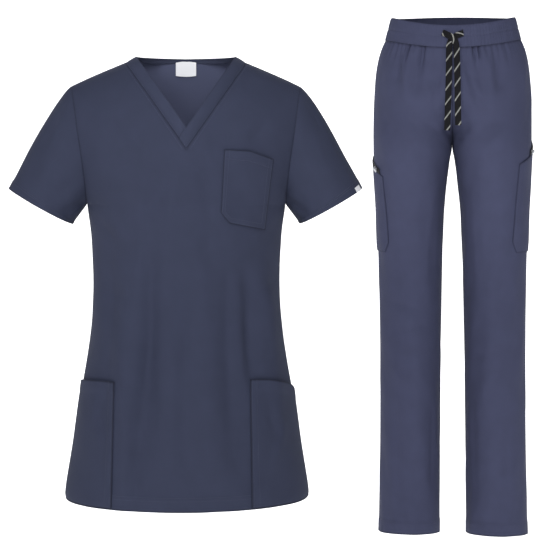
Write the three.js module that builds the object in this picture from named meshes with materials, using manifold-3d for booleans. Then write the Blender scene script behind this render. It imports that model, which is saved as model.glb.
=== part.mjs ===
// Medical scrubs: a V-neck top with three patch pockets and drawcord trousers with two zipped thigh pockets.
// Both garments keep the hollow form they have when worn. Every panel a maker cuts is one closed cloth wall.
// Millimetres, +Z up, front towards -Y. The origin is at the neck: the middle of the top, at the height
// where the shoulder seams meet the neck, in the plane of the side seams. The trousers stand beside and
// behind the top.
import * as THREE from "three";
import { mergeVertices } from "three/addons/utils/BufferGeometryUtils.js";
import Module from "manifold-3d";

const wasm = await Module();
wasm.setup();

// Driving sizes of the cloth
const wall = 1.4;
const seamGap = 0.3;
const layerGap = 1.2;
const trimWall = 1.0;
const sleeveInset = 0.9;

// Placing of the trousers beside the top, turned to face the same viewer
const trousersPlace = { x: 516.5, y: 701.5, turn: -8.4 };

// Top: sections from the hem up to the underarm, half width and depths each side of the side seams
const bodySections = [
  { z: -684, halfWidth: 188.5, front: 131, back: 128 },
  { z: -659, halfWidth: 185.8, front: 130, back: 126 },
  { z: -596, halfWidth: 176.0, front: 126, back: 121 },
  { z: -533, halfWidth: 167.0, front: 121, back: 115 },
  { z: -470, halfWidth: 156.0, front: 115, back: 108 },
  { z: -407, halfWidth: 147.2, front: 110, back: 102 },
  { z: -345, halfWidth: 144.4, front: 108, back: 100 },
  { z: -276, halfWidth: 147.0, front: 112, back: 106 },
  { z: -226, halfWidth: 153.0, front: 116, back: 112 },
  { z: -175, halfWidth: 156.0, front: 118, back: 112 },
  { z: -129, halfWidth: 160.0, front: 120, back: 109 },
  { z: -60, halfWidth: 170.0, front: 118, back: 94 },
  { z: -12, halfWidth: 176.0, front: 112, back: 68 },
];

// Armhole: an oval seam between underarm and shoulder tip, its x read by height
const armhole = { underarm: -226, tip: -45.5, halfDepth: 62 };
const armholeEdge = [
  { z: -226, x: 153.0 },
  { z: -200, x: 153.4 },
  { z: -173, x: 156.0 },
  { z: -143, x: 160.0 },
  { z: -113, x: 164.4 },
  { z: -83, x: 168.4 },
  { z: -45.5, x: 175.0 },
];

// Necklines: V or centre point at the low end, shoulder seam at the high end, both halves alike
const necklines = {
  frontSeam: { low: -141, depth: 120.5, high: -10.5, width: 93, bulge: 1.6 },
  frontEdge: { low: -108.8, depth: 118.5, high: 0, width: 76, bulge: 1.6 },
  backSeam: { low: -8.2, depth: 68, high: -6, width: 84, bulge: 2.2 },
  backEdge: { low: -1.2, depth: 65, high: 0, width: 76.5, bulge: 2.2 },
};
const lapShare = 0.56;

// Sleeve: round cuff and the two directions that its edges leave the armhole in
const sleeve = {
  cuff: { x: 224, z: -229.5, halfWidth: 56, halfDepth: 60, tilt: -29.6 },
  capPull: 70,
  sidePull: 90,
  underPull: 18,
  underArrive: 28.8,
  cuffPull: 110,
  slope: { x: 0.9, z: -0.42 },
  capFrom: 0.2,
  rings: 7,
};

// Rows of the body panels: below the underarm by height, above it in equal shares of the armhole
const rowHeights = [-684, -655, -620, -580, -540, -500, -460, -420, -380, -340, -300, -262, -226];
const rowsAbove = 12;
const frontVeeRow = 5;
const backNeckRow = 7;
const bodyColumns = 12;
const shoulderBend = 0.6;
const shoulderBendBy = 0.85;
const armholePull = { power: 1.6, until: 0.35 };

// How much of a fold's length fades at each end, and how far it runs past the end
const foldFade = { reach: 0.3, spill: 0.2 };

// Largest folds of the top: place and height of each end, then half width and how far it stands out
const topFolds = [
  { side: "front", x: -52, z: -240, x2: -60, z2: -640, width: 13, height: -7 },
  { side: "front", x: -84, z: -300, x2: -88, z2: -660, width: 17, height: 5 },
  { side: "front", x: -24, z: -380, x2: -22, z2: -660, width: 20, height: 4 },
  { side: "front", x: 90, z: -300, x2: 100, z2: -500, width: 12, height: -5 },
  { side: "front", x: 122, z: -330, x2: 142, z2: -620, width: 13, height: 4 },
  { side: "front", x: 40, z: -440, x2: 46, z2: -670, width: 22, height: 4 },
  { side: "front", x: -14, z: -150, x2: -60, z2: -250, width: 16, height: -4 },
  { side: "front", x: 16, z: -150, x2: 40, z2: -230, width: 16, height: -3 },
  { side: "back", x: -66, z: -260, x2: -78, z2: -640, width: 17, height: -6 },
  { side: "back", x: 4, z: -330, x2: 8, z2: -660, width: 22, height: 5 },
  { side: "back", x: 70, z: -240, x2: 84, z2: -620, width: 16, height: -6 },
  { side: "back", x: -118, z: -330, x2: -136, z2: -620, width: 14, height: 4 },
  { side: "back", x: 118, z: -350, x2: 134, z2: -640, width: 14, height: 4 },
];

// Patch pockets of the top: corners of the outline by x and height, the hip pockets mirrored in outline only
const chestPocket = {
  top: [
    { x: 56, z: -142 },
    { x: 94, z: -144 },
    { x: 130, z: -157 },
  ],
  bottom: [
    { x: 51, z: -236 },
    { x: 64, z: -252 },
    { x: 118, z: -264 },
  ],
};
const hipPockets = [
  { name: "top_hip_pocket_right", side: -1, innerTop: 109, innerHem: 114, topInner: -492, topSide: -499 },
  { name: "top_hip_pocket_left", side: 1, innerTop: 94, innerHem: 96, topInner: -489, topSide: -518 },
];
const hemReach = -683;
const sideSeamAngle = Math.PI / 2 - 0.035;

// Trousers: sections of the hip part, from the waist down, then of each leg
const hipSections = [
  { z: 114, halfWidth: 117.5, front: 96, back: 97 },
  { z: 86, halfWidth: 125.0, front: 99, back: 101 },
  { z: 62, halfWidth: 131.5, front: 102, back: 105 },
  { z: 45, halfWidth: 138.5, front: 105, back: 109 },
  { z: 26, halfWidth: 144.0, front: 108, back: 113 },
  { z: 0, halfWidth: 148.0, front: 111, back: 117 },
  { z: -32, halfWidth: 150.7, front: 113, back: 121 },
  { z: -71, halfWidth: 152.7, front: 112, back: 122 },
  { z: -110, halfWidth: 153.2, front: 109, back: 118 },
  { z: -147, halfWidth: 153.0, front: 104, back: 112 },
];
const legSections = [
  { z: -40, outer: 151.0, inner: 0.0, front: 110, back: 116 },
  { z: -110, outer: 153.2, inner: 0.2, front: 107, back: 112 },
  { z: -147, outer: 153.0, inner: 0.7, front: 103, back: 107 },
  { z: -167, outer: 152.2, inner: 4.4, front: 100.5, back: 103 },
  { z: -216, outer: 149.8, inner: 10.6, front: 94, back: 95 },
  { z: -265, outer: 147.2, inner: 15.2, front: 88, back: 88.5 },
  { z: -314, outer: 146.0, inner: 17.5, front: 83.5, back: 83.5 },
  { z: -363, outer: 144.0, inner: 19.5, front: 80, back: 80 },
  { z: -461, outer: 142.3, inner: 21.4, front: 76, back: 76.5 },
  { z: -559, outer: 141.8, inner: 23.2, front: 74, back: 75 },
  { z: -708, outer: 142.6, inner: 24.5, front: 73, back: 74 },
  { z: -858, outer: 145.5, inner: 25.6, front: 73, back: 74 },
  { z: -900, outer: 146.8, inner: 25.6, front: 73, back: 74 },
];
const crotch = { z: -147, blendFrom: -36, blendPower: 1.35 };
const legHem = -900;
const legDrift = 7;
const legRowHeights = [
  60, 40, 18, -6, -32, -60, -84, -104, -122, -136, -147, -162, -182, -208,
  -240, -280, -330, -390, -460, -540, -620, -700, -780, -850, -900,
];
const legColumns = 9;
const cuffRise = 7;
const cuffRiseFrom = -760;
const waist = { top: 107, seam: 63, frontDipTop: 19.3, frontDipSeam: 18, backRise: 7, levelBelow: -60 };
const bandColumns = 40;

// Gathers and folds of the trousers: share of the way from outseam (0) to the middle (1), then both heights
const trouserFolds = [
  { leg: -1, side: "front", a: 0.48, z: 60, a2: 0.5, z2: -20, width: 0.05, height: -5 },
  { leg: -1, side: "front", a: 0.7, z: 58, a2: 0.69, z2: -45, width: 0.06, height: -5 },
  { leg: -1, side: "front", a: 0.59, z: 58, a2: 0.6, z2: -70, width: 0.05, height: 3.5 },
  { leg: -1, side: "front", a: 0.9, z: 52, a2: 0.82, z2: -30, width: 0.05, height: -4 },
  { leg: 1, side: "front", a: 0.88, z: 52, a2: 0.8, z2: -25, width: 0.05, height: -4 },
  { leg: 1, side: "front", a: 0.78, z: 55, a2: 0.74, z2: -50, width: 0.05, height: -4.5 },
  { leg: 1, side: "front", a: 0.6, z: 58, a2: 0.6, z2: -40, width: 0.06, height: -4.5 },
  { leg: 1, side: "front", a: 0.69, z: 56, a2: 0.68, z2: -70, width: 0.05, height: 3.5 },
  { leg: -1, side: "back", a: 0.35, z: 62, a2: 0.36, z2: -30, width: 0.06, height: -4.5 },
  { leg: -1, side: "back", a: 0.62, z: 62, a2: 0.6, z2: -60, width: 0.06, height: -5 },
  { leg: -1, side: "back", a: 0.84, z: 62, a2: 0.84, z2: -30, width: 0.05, height: -4 },
  { leg: 1, side: "back", a: 0.4, z: 62, a2: 0.38, z2: -45, width: 0.06, height: -5 },
  { leg: 1, side: "back", a: 0.66, z: 62, a2: 0.67, z2: -35, width: 0.06, height: -4.5 },
  { leg: 1, side: "back", a: 0.86, z: 62, a2: 0.84, z2: -55, width: 0.05, height: -4 },
  { leg: -1, side: "front", a: 0.52, z: -300, a2: 0.6, z2: -800, width: 0.12, height: 4 },
  { leg: 1, side: "front", a: 0.5, z: -330, a2: 0.58, z2: -820, width: 0.12, height: 4 },
  { leg: -1, side: "back", a: 0.5, z: -260, a2: 0.56, z2: -760, width: 0.13, height: 4 },
  { leg: 1, side: "back", a: 0.52, z: -280, a2: 0.55, z2: -780, width: 0.13, height: 4 },
];

// Thigh pockets: shares round the leg from the outseam, front positive and back negative, and heights.
// The zip slants along the top, falling by the slant for each whole share towards the front.
const thighPockets = [
  { side: -1, topAtSeam: -174, frontTop: 0.234, frontLow: 0.29, zipFront: 0.19, sliderAt: 0.14 },
  { side: 1, topAtSeam: -146, frontTop: 0.275, frontLow: 0.33, zipFront: 0.12, sliderAt: 0.09 },
];
const thighPocket = {
  backTop: -0.27,
  backLow: -0.3,
  slant: 105,
  low: -344,
  cutShare: 0.045,
  cutHeight: 0.13,
  columns: 10,
  rows: 8,
};
const zipTape = { width: 9, gap: 0.5 };
const slider = { long: 9, wide: 7, thick: 2.2, corner: 1.6, lift: 0.3 };
const lug = { long: 2.6, wide: 1.0, at: 2.15, overPin: 0.4, sunk: 0.4 };
const pin = { radius: 0.6, clear: 0.35 };
const pull = {
  long: 16,
  wide: 5.2,
  thick: 1.1,
  corner: 2,
  eyeRadius: 1.6,
  boreRadius: 0.95,
  eyeWide: 2.6,
  neck: 3.2,
  neckOverlap: 1.4,
  tipHoleRadius: 1.1,
  tipHoleFromEnd: 3,
};

// Drawcord: a flat cord, and the middles of its two routes placed by hand in the trousers' own frame
const cord = { wide: 11.6, thick: 2.0, corner: 0.6, step: 6.5 };
const cordRoutes = {
  right: [
    { x: -19, y: -98.8, z: 73 },
    { x: -15, y: -101.5, z: 71 },
    { x: -9, y: -104.5, z: 68 },
    { x: -2, y: -106, z: 64 },
    { x: 3.5, y: -106.6, z: 58 },
    { x: 6.2, y: -107.2, z: 49 },
    { x: 7.4, y: -108.6, z: 36 },
    { x: 8.2, y: -112, z: 16 },
    { x: 8.9, y: -115, z: -8 },
    { x: 9.6, y: -116.6, z: -36 },
    { x: 10.3, y: -117, z: -66 },
    { x: 11.2, y: -117, z: -101 },
  ],
  left: [
    { x: 19, y: -99, z: 71.5 },
    { x: 15, y: -100.5, z: 70.5 },
    { x: 9, y: -101.7, z: 68 },
    { x: 2, y: -102.2, z: 64 },
    { x: -3.4, y: -103, z: 58 },
    { x: -6.6, y: -104, z: 49 },
    { x: -6.9, y: -106.2, z: 36 },
    { x: -7.0, y: -110.2, z: 16 },
    { x: -7.2, y: -113.4, z: -8 },
    { x: -7.6, y: -115.4, z: -36 },
    { x: -8.4, y: -115.8, z: -70 },
    { x: -9.6, y: -115.8, z: -110.5 },
  ],
};

// Labels, both bare
const neckLabel = { halfWide: 16, top: -5.4, low: -27 };
const labelGap = 2;
const labelRise = 3;
const sleeveTag = { long: 13, turn: 0.405, shareWide: 0.044, gap: 0.6, edgeLong: 190, centreIn: 20 };

const cloth = new THREE.MeshStandardMaterial({ color: 0x42465c, roughness: 0.85, metalness: 0 });
const clothTrim = new THREE.MeshStandardMaterial({ color: 0x3b3f54, roughness: 0.85, metalness: 0 });
const blackTape = new THREE.MeshStandardMaterial({ color: 0x101014, roughness: 0.6, metalness: 0 });
const metal = new THREE.MeshStandardMaterial({ color: 0x9a9ca2, roughness: 0.35, metalness: 1 });
const white = new THREE.MeshStandardMaterial({ color: 0xe8e8ea, roughness: 0.7, metalness: 0 });

const group = new THREE.Group();
const trousers = new THREE.Group();
trousers.position.set(trousersPlace.x, trousersPlace.y, 0);
trousers.rotation.z = THREE.MathUtils.degToRad(trousersPlace.turn);
group.add(trousers);

const mix = (a, b, t) => a + (b - a) * t;
const clamp = (value, low, high) => Math.min(high, Math.max(low, value));
const smooth = (from, to, value) => {
  const t = clamp((value - from) / (to - from), 0, 1);
  return t * t * (3 - 2 * t);
};

// Reads one column of a table by height, with a smooth curve through its rows
function column(table, name) {
  const rows = [...table].sort((a, b) => a.z - b.z);
  const slope = (i) => {
    const low = rows[Math.max(0, i - 1)];
    const high = rows[Math.min(rows.length - 1, i + 1)];
    return (high[name] - low[name]) / (high.z - low.z);
  };
  return (z) => {
    if (z <= rows[0].z) return rows[0][name];
    const last = rows.length - 1;
    if (z >= rows[last].z) return rows[last][name];
    let i = 0;
    while (rows[i + 1].z < z) i += 1;
    const span = rows[i + 1].z - rows[i].z;
    const t = (z - rows[i].z) / span;
    const rise = t * t * (3 - 2 * t);
    const leave = t * (1 - t) * (1 - t) * span;
    const arrive = t * t * (t - 1) * span;
    return mix(rows[i][name], rows[i + 1][name], rise) + leave * slope(i) + arrive * slope(i + 1);
  };
}

// One cloth surface as welded points and triangles, facing out
class Surface {
  constructor() {
    this.points = [];
    this.faces = [];
    this.index = new Map();
  }

  static key(point) {
    return point.toArray().map((value) => Math.round(value * 500)).join(",");
  }

  add(point) {
    const key = Surface.key(point);
    if (!this.index.has(key)) {
      this.index.set(key, this.points.length);
      this.points.push(point.clone());
    }
    return this.index.get(key);
  }

  triangle(a, b, c) {
    if (a !== b && b !== c && a !== c) this.faces.push([a, b, c]);
  }

  // Adds a grid of points given by at(column, row); flip turns its faces round
  grid(at, columns, rows, flip = false) {
    const id = [];
    for (let j = 0; j <= rows; j += 1) {
      id.push([]);
      for (let i = 0; i <= columns; i += 1) id[j].push(this.add(at(i, j)));
    }
    for (let j = 0; j < rows; j += 1) {
      for (let i = 0; i < columns; i += 1) {
        const [a, b, c, d] = [id[j][i], id[j][i + 1], id[j + 1][i + 1], id[j + 1][i]];
        if (flip) {
          this.triangle(a, c, b);
          this.triangle(a, d, c);
        } else {
          this.triangle(a, b, c);
          this.triangle(a, c, d);
        }
      }
    }
    return this;
  }

  normals() {
    const sums = this.points.map(() => new THREE.Vector3());
    for (const [a, b, c] of this.faces) {
      const edge = this.points[b].clone().sub(this.points[a]);
      const normal = edge.cross(this.points[c].clone().sub(this.points[a]));
      for (const i of [a, b, c]) sums[i].add(normal);
    }
    return sums;
  }

  // Edges that belong to one triangle only, in that triangle's direction
  border() {
    const seen = new Map();
    for (const [a, b, c] of this.faces) {
      for (const [from, to] of [[a, b], [b, c], [c, a]]) seen.set(from + "_" + to, [from, to]);
    }
    return [...seen.values()].filter(([from, to]) => !seen.has(to + "_" + from));
  }
}

// Panels that meet at seams share their normals there, so that their walls end side by side
const seamNormals = new Map();
function joinSeams(surfaces) {
  for (const surface of surfaces) {
    surface.normals().forEach((normal, i) => {
      const key = Surface.key(surface.points[i]);
      const sum = seamNormals.get(key) ?? new THREE.Vector3();
      seamNormals.set(key, sum.add(normal));
    });
  }
}

// Gives a surface its thickness inwards, with its edges drawn in by half a seam gap
function thicken(surface, thickness, inset = seamGap / 2) {
  const own = surface.normals();
  const normals = surface.points.map((point, i) => {
    const shared = seamNormals.get(Surface.key(point));
    return (shared ?? own[i]).clone().normalize();
  });
  const border = surface.border();
  const inward = surface.points.map(() => []);
  for (const [from, to] of border) {
    const along = surface.points[to].clone().sub(surface.points[from]).normalize();
    for (const i of [from, to]) inward[i].push(normals[i].clone().cross(along).normalize());
  }
  const outer = surface.points.map((point, i) => {
    const moved = point.clone();
    if (inward[i].length < 2) return moved;
    const [first, second] = inward[i];
    const share = inset / Math.max(0.35, 1 + first.dot(second));
    return moved.addScaledVector(first, share).addScaledVector(second, share);
  });
  const inner = outer.map((point, i) => point.clone().addScaledVector(normals[i], -thickness));
  const count = outer.length;
  const indices = [];
  for (const [a, b, c] of surface.faces) indices.push(a, b, c, a + count, c + count, b + count);
  for (const [from, to] of border) {
    indices.push(from, from + count, to + count, from, to + count, to);
  }
  const geometry = new THREE.BufferGeometry();
  const flat = [...outer, ...inner].flatMap((point) => point.toArray());
  geometry.setAttribute("position", new THREE.Float32BufferAttribute(flat, 3));
  geometry.setIndex(indices);
  return geometry;
}

function place(parent, name, geometry, material) {
  geometry.computeVertexNormals();
  const mesh = new THREE.Mesh(geometry, material);
  mesh.name = name;
  parent.add(mesh);
}

// A soft trough or ridge between two places, fading at its ends
function foldAt(fold, across, z, from, to) {
  const t = clamp((z - fold.z) / (fold.z2 - fold.z), 0, 1);
  const middle = mix(from, to, t);
  const reach = Math.abs(fold.z2 - fold.z) * foldFade.reach;
  const spill = reach * foldFade.spill;
  const lowEnd = smooth(fold.z2 - spill, fold.z2 + reach, z);
  const highEnd = 1 - smooth(fold.z - reach, fold.z + spill, z);
  const away = (across - middle) / fold.width;
  return fold.height * Math.exp(-away * away) * lowEnd * highEnd;
}

// Top: body
const body = {
  halfWidth: column(bodySections, "halfWidth"),
  front: column(bodySections, "front"),
  back: column(bodySections, "back"),
};
const armholeX = column(armholeEdge, "x");

// A point of a neckline: share 0 at the middle, 1 at the shoulder seam; facing -1 front, 1 back
function neckPoint(line, share, facing, side) {
  const depth = line.depth * (1 - share ** line.bulge) ** (1 / line.bulge);
  return new THREE.Vector3(side * line.width * share, facing * depth, mix(line.low, line.high, share));
}

// Share along a neckline of a body row, counted from the underarm
function neckShare(above, turnRow) {
  return Math.sin(((above - turnRow) / (rowsAbove - turnRow)) * (Math.PI / 2));
}

// A point of the armhole seam: share 0 at the underarm, 1 at the shoulder tip
function armholePoint(share, facing, side) {
  const angle = Math.PI * share;
  const middle = (armhole.underarm + armhole.tip) / 2;
  const z = middle - ((armhole.tip - armhole.underarm) / 2) * Math.cos(angle);
  return new THREE.Vector3(side * armholeX(z), facing * armhole.halfDepth * Math.sin(angle), z);
}

// The two ends of a body row, counted from the hem; the inner end follows the middle, then the neckline
function rowEnds(row, facing, side) {
  const underarmRow = rowHeights.length - 1;
  const depthAt = facing < 0 ? body.front : body.back;
  const line = facing < 0 ? necklines.frontSeam : necklines.backSeam;
  const turnRow = facing < 0 ? frontVeeRow : backNeckRow;
  if (row <= underarmRow) {
    const low = Math.min(Math.floor(row), underarmRow - 1);
    const z = mix(rowHeights[low], rowHeights[low + 1], row - low);
    return {
      inner: new THREE.Vector3(0, facing * depthAt(z), z),
      outer: new THREE.Vector3(side * body.halfWidth(z), 0, z),
      bend: Math.PI / 2,
    };
  }
  const above = row - underarmRow;
  const outer = armholePoint(above / rowsAbove, facing, side);
  const bend = mix(Math.PI / 2, shoulderBend, smooth(0, shoulderBendBy, above / rowsAbove));
  if (above <= turnRow) {
    const z = mix(armhole.underarm, line.low, above / turnRow);
    const y = facing * mix(depthAt(z), line.depth, above / turnRow);
    return { inner: new THREE.Vector3(0, y, z), outer, bend };
  }
  return { inner: neckPoint(line, neckShare(above, turnRow), facing, side), outer, bend };
}

const rowsBelow = rowHeights.length - 1;
const rowCount = rowsBelow + rowsAbove;

// A point of the body cloth without its folds: across 0 at the inner end and 1 at the outer end of a row
function plainBody(across, row, facing, side) {
  const { inner, outer, bend } = rowEnds(row, facing, side);
  const above = row - rowsBelow;
  const turnRow = facing < 0 ? frontVeeRow : backNeckRow;
  const pull = mix(armholePull.power, 1, smooth(0, armholePull.until, above / rowsAbove));
  const level = across * across * (2 - across);
  const drop = mix(level, across, smooth(turnRow, rowsAbove, above));
  const round = (1 - Math.cos(across * bend)) / (1 - Math.cos(bend));
  const x = mix(inner.x, outer.x, Math.sin(across * bend) / Math.sin(bend));
  const y = inner.y * (1 - round) + outer.y * round ** pull;
  const z = mix(inner.z, outer.z, drop);
  return new THREE.Vector3(x, y, z);
}

function bodyPoint(across, row, facing, side) {
  const point = plainBody(across, row, facing, side);
  const step = 0.02;
  const lowRow = Math.max(0, row - step);
  const highRow = Math.min(rowCount, row + step);
  const along = plainBody(across, highRow, facing, side).sub(plainBody(across, lowRow, facing, side));
  const sideways = plainBody(Math.min(1, across + step), row, facing, side);
  sideways.sub(plainBody(Math.max(0, across - step), row, facing, side));
  const out = sideways.cross(along).normalize();
  if (out.y * facing < 0) out.negate();
  if (across === 0 && Math.abs(point.x) < 1e-6) out.setX(0).normalize();
  const name = facing < 0 ? "front" : "back";
  const edge = smooth(0, 0.1, 1 - across);
  for (const fold of topFolds) {
    if (fold.side !== name) continue;
    point.addScaledVector(out, edge * foldAt(fold, point.x, point.z, fold.x, fold.x2));
  }
  return point;
}

// Finds the body point over a place on the front or back, by stepping towards it
function bodyOver(x, z, facing, lift) {
  const side = x < 0 ? -1 : 1;
  let across = 0.5;
  let row = 8;
  const step = 1e-3;
  for (let turn = 0; turn < 30; turn += 1) {
    const here = bodyPoint(across, row, facing, side);
    const byAcross = bodyPoint(across + step, row, facing, side).sub(here).divideScalar(step);
    const byRow = bodyPoint(across, row + step, facing, side).sub(here).divideScalar(step);
    const scale = byAcross.x * byRow.z - byAcross.z * byRow.x;
    const missX = x - here.x;
    const missZ = z - here.z;
    across = clamp(across + clamp((missX * byRow.z - missZ * byRow.x) / scale, -0.2, 0.2), 0, 0.998);
    row = clamp(row + clamp((missZ * byAcross.x - missX * byAcross.z) / scale, -2, 2), 0, rowCount - 0.01);
  }
  const here = bodyPoint(across, row, facing, side);
  const byAcross = bodyPoint(across + step, row, facing, side).sub(here);
  const byRow = bodyPoint(across, row + step, facing, side).sub(here);
  const out = byAcross.cross(byRow).normalize();
  if (out.y * facing < 0) out.negate();
  return here.addScaledVector(out, lift);
}

function bodyPanel(facing) {
  const surface = new Surface();
  for (const side of [-1, 1]) {
    const half = (i, j) => bodyPoint(i / bodyColumns, j, facing, side);
    surface.grid(half, bodyColumns, rowCount, side * facing > 0);
  }
  return surface;
}
const frontPanel = bodyPanel(-1);
const backPanel = bodyPanel(1);

// Sleeve: a tube from the armhole seam to the round cuff
function sleevePoint(turn, along, side) {
  const facing = turn <= 0.5 ? -1 : 1;
  const share = turn <= 0.5 ? turn * 2 : 2 - turn * 2;
  const start = armholePoint(share, facing, side);
  const { cuff } = sleeve;
  const tilt = THREE.MathUtils.degToRad(cuff.tilt);
  const high = -Math.cos(Math.PI * share);
  const upward = new THREE.Vector3(Math.cos(tilt) * side, 0, -Math.sin(tilt));
  const end = new THREE.Vector3(cuff.x * side, facing * cuff.halfDepth * Math.sin(Math.PI * share), cuff.z);
  end.addScaledVector(upward, high * cuff.halfWidth);
  const axis = new THREE.Vector3(-Math.sin(tilt) * side, 0, -Math.cos(tilt));
  const shoulder = new THREE.Vector3(sleeve.slope.x * side, 0, sleeve.slope.z);
  const upper = (high + 1) / 2;
  const top = smooth(sleeve.capFrom, 1, upper);
  const leave = axis.clone().multiplyScalar(mix(sleeve.underPull, sleeve.sidePull, upper));
  leave.lerp(shoulder.multiplyScalar(sleeve.capPull), top);
  const arrive = axis.multiplyScalar(mix(sleeve.underArrive, sleeve.cuffPull, upper));
  const t = along;
  return start
    .multiplyScalar(1 + t * t * (2 * t - 3))
    .addScaledVector(end, t * t * (3 - 2 * t))
    .addScaledVector(leave, t * (1 - t) * (1 - t))
    .addScaledVector(arrive, t * t * (t - 1));
}

function sleeveTube(side) {
  const around = rowsAbove * 2;
  const at = (i, j) => sleevePoint((i % around) / around, j / sleeve.rings, side);
  return new Surface().grid(at, around, sleeve.rings, side > 0);
}
const sleeves = { right: sleeveTube(-1), left: sleeveTube(1) };

// A strip or patch that lies on other cloth: four outlines meet at its corners
function laid(at, columns, rows, thickness, flip = false) {
  const surface = new Surface();
  surface.grid((i, j) => at(i / columns, j / rows), columns, rows, flip);
  return thicken(surface, thickness);
}

// Reads a point along a short row of corners, in equal shares of their lengths
function alongCorners(corners, share) {
  const stepTo = (corner, i) => Math.hypot(corner.x - corners[i].x, corner.z - corners[i].z);
  const steps = corners.slice(1).map(stepTo);
  let left = share * steps.reduce((sum, step) => sum + step, 0);
  let i = 0;
  while (i < steps.length - 1 && left > steps[i]) {
    left -= steps[i];
    i += 1;
  }
  const t = clamp(left / steps[i], 0, 1);
  return { x: mix(corners[i].x, corners[i + 1].x, t), z: mix(corners[i].z, corners[i + 1].z, t) };
}

// Neckband: each half runs from the V to the shoulder, the left half lapped over the middle
function neckband(side) {
  const steps = rowsAbove - frontVeeRow;
  const surface = new Surface();
  const share = (j) => neckShare(frontVeeRow + j, frontVeeRow);
  const tip = neckPoint(necklines.frontSeam, 0, -1, side);
  const lap = tip.clone().lerp(neckPoint(necklines.frontSeam, share(1), -1, -1), lapShare);
  const at = (i, j) => {
    const inner = neckPoint(necklines.frontEdge, share(j), -1, side);
    const outer = side < 0 && j === 0 ? lap : neckPoint(necklines.frontSeam, share(j), -1, side);
    return inner.lerp(outer, i / 2);
  };
  surface.grid(at, 2, steps, side < 0);
  if (side > 0) {
    const ids = [at(0, 0), at(1, 0), tip, lap].map((point) => surface.add(point));
    surface.triangle(ids[0], ids[3], ids[1]);
    surface.triangle(ids[1], ids[3], ids[2]);
  }
  return surface;
}

// Back neck binding, from shoulder to shoulder
function backBinding() {
  const steps = rowsAbove - backNeckRow;
  const at = (i, j) => {
    const side = i < steps ? -1 : 1;
    const share = neckShare(backNeckRow + Math.abs(i - steps), backNeckRow);
    const seam = neckPoint(necklines.backSeam, share, 1, side);
    return seam.lerp(neckPoint(necklines.backEdge, share, 1, side), j);
  };
  return new Surface().grid(at, steps * 2, 1, true);
}

const neckbands = { right: neckband(-1), left: neckband(1) };
const binding = backBinding();
const trims = [neckbands.right, neckbands.left, binding];
joinSeams([frontPanel, backPanel, sleeves.right, sleeves.left, ...trims]);

// Seams in the plane of the side seams keep their walls square to it
function squareToSeams() {
  for (const [key, normal] of seamNormals) {
    const [x, y] = key.split(",").map(Number);
    if (y === 0 && x !== 0) normal.y = 0;
    if (x === 0) normal.x = 0;
  }
}
squareToSeams();
place(group, "top_front", thicken(frontPanel, wall), cloth);
place(group, "top_back", thicken(backPanel, wall), cloth);
place(group, "top_sleeve_right", thicken(sleeves.right, wall, sleeveInset), cloth);
place(group, "top_sleeve_left", thicken(sleeves.left, wall, sleeveInset), cloth);
place(group, "top_neckband_right", thicken(neckbands.right, wall), cloth);
place(group, "top_neckband_left", thicken(neckbands.left, wall), cloth);
place(group, "top_back_neck_binding", thicken(binding, wall), clothTrim);
seamNormals.clear();

// Chest pocket on the wearer's left
const pocketOn = (at, columns, rows, facing, flip) =>
  laid((u, v) => {
    const spot = at(u, v);
    return bodyOver(spot.x, spot.z, facing, layerGap + wall);
  }, columns, rows, wall, flip);

const chestOutline = (u, v) => {
  const low = alongCorners(chestPocket.bottom, u);
  const high = alongCorners(chestPocket.top, u);
  return { x: mix(low.x, high.x, v), z: mix(low.z, high.z, v) };
};
place(group, "top_chest_pocket", pocketOn(chestOutline, 7, 8, -1, false), cloth);

// Hip pockets, from the side seam inwards, down to the hem
for (const pocket of hipPockets) {
  const outline = (u, v) => {
    const z = mix(hemReach, mix(pocket.topInner, pocket.topSide, u * u), v);
    const inner = mix(pocket.innerHem, pocket.innerTop, v);
    const angle = mix(Math.asin(inner / body.halfWidth(z)), sideSeamAngle, u);
    return { x: pocket.side * body.halfWidth(z) * Math.sin(angle), z };
  };
  place(group, pocket.name, pocketOn(outline, 7, 12, -1, pocket.side < 0), cloth);
}

// Bare label inside the back of the neck
const labelPoint = (u, v) => {
  const x = mix(-neckLabel.halfWide, neckLabel.halfWide, u);
  const z = mix(neckLabel.low, neckLabel.top, v);
  const below = bodyOver(x, z - labelRise, 1, -wall - labelGap);
  return below.add(new THREE.Vector3(0, 0, labelRise));
};
place(group, "top_neck_label", laid(labelPoint, 4, 4, trimWall, true), white);

// Bare tag on the front of the left cuff, near its outer edge
const tagPoint = (u, v) => {
  const turn = sleeveTag.turn - (0.5 - u) * sleeveTag.shareWide;
  const along = mix(1, 1 - sleeveTag.long / sleeveTag.edgeLong, v);
  const point = sleevePoint(turn, along, 1);
  const inside = new THREE.Vector3(sleeve.cuff.x - sleeveTag.centreIn, 0, sleeve.cuff.z);
  const out = point.clone().sub(inside);
  return point.addScaledVector(out.normalize(), sleeveTag.gap + trimWall);
};
place(group, "top_sleeve_tag", laid(tagPoint, 2, 3, trimWall, false), white);

// Trousers: share a runs from the outseam (0) to the middle or inseam (1), on the front (-1) or back (1)
const hip = {
  halfWidth: column(hipSections, "halfWidth"),
  front: column(hipSections, "front"),
  back: column(hipSections, "back"),
};
const leg = {
  outer: column(legSections, "outer"),
  inner: column(legSections, "inner"),
  front: column(legSections, "front"),
  back: column(legSections, "back"),
};

function waistLine(angle, facing, top) {
  const dip = top ? waist.frontDipTop : waist.frontDipSeam;
  const level = top ? waist.top : waist.seam;
  const toMiddle = Math.cos(angle) ** 2;
  return facing < 0 ? level - dip * toMiddle : level + waist.backRise * toMiddle;
}

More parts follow.
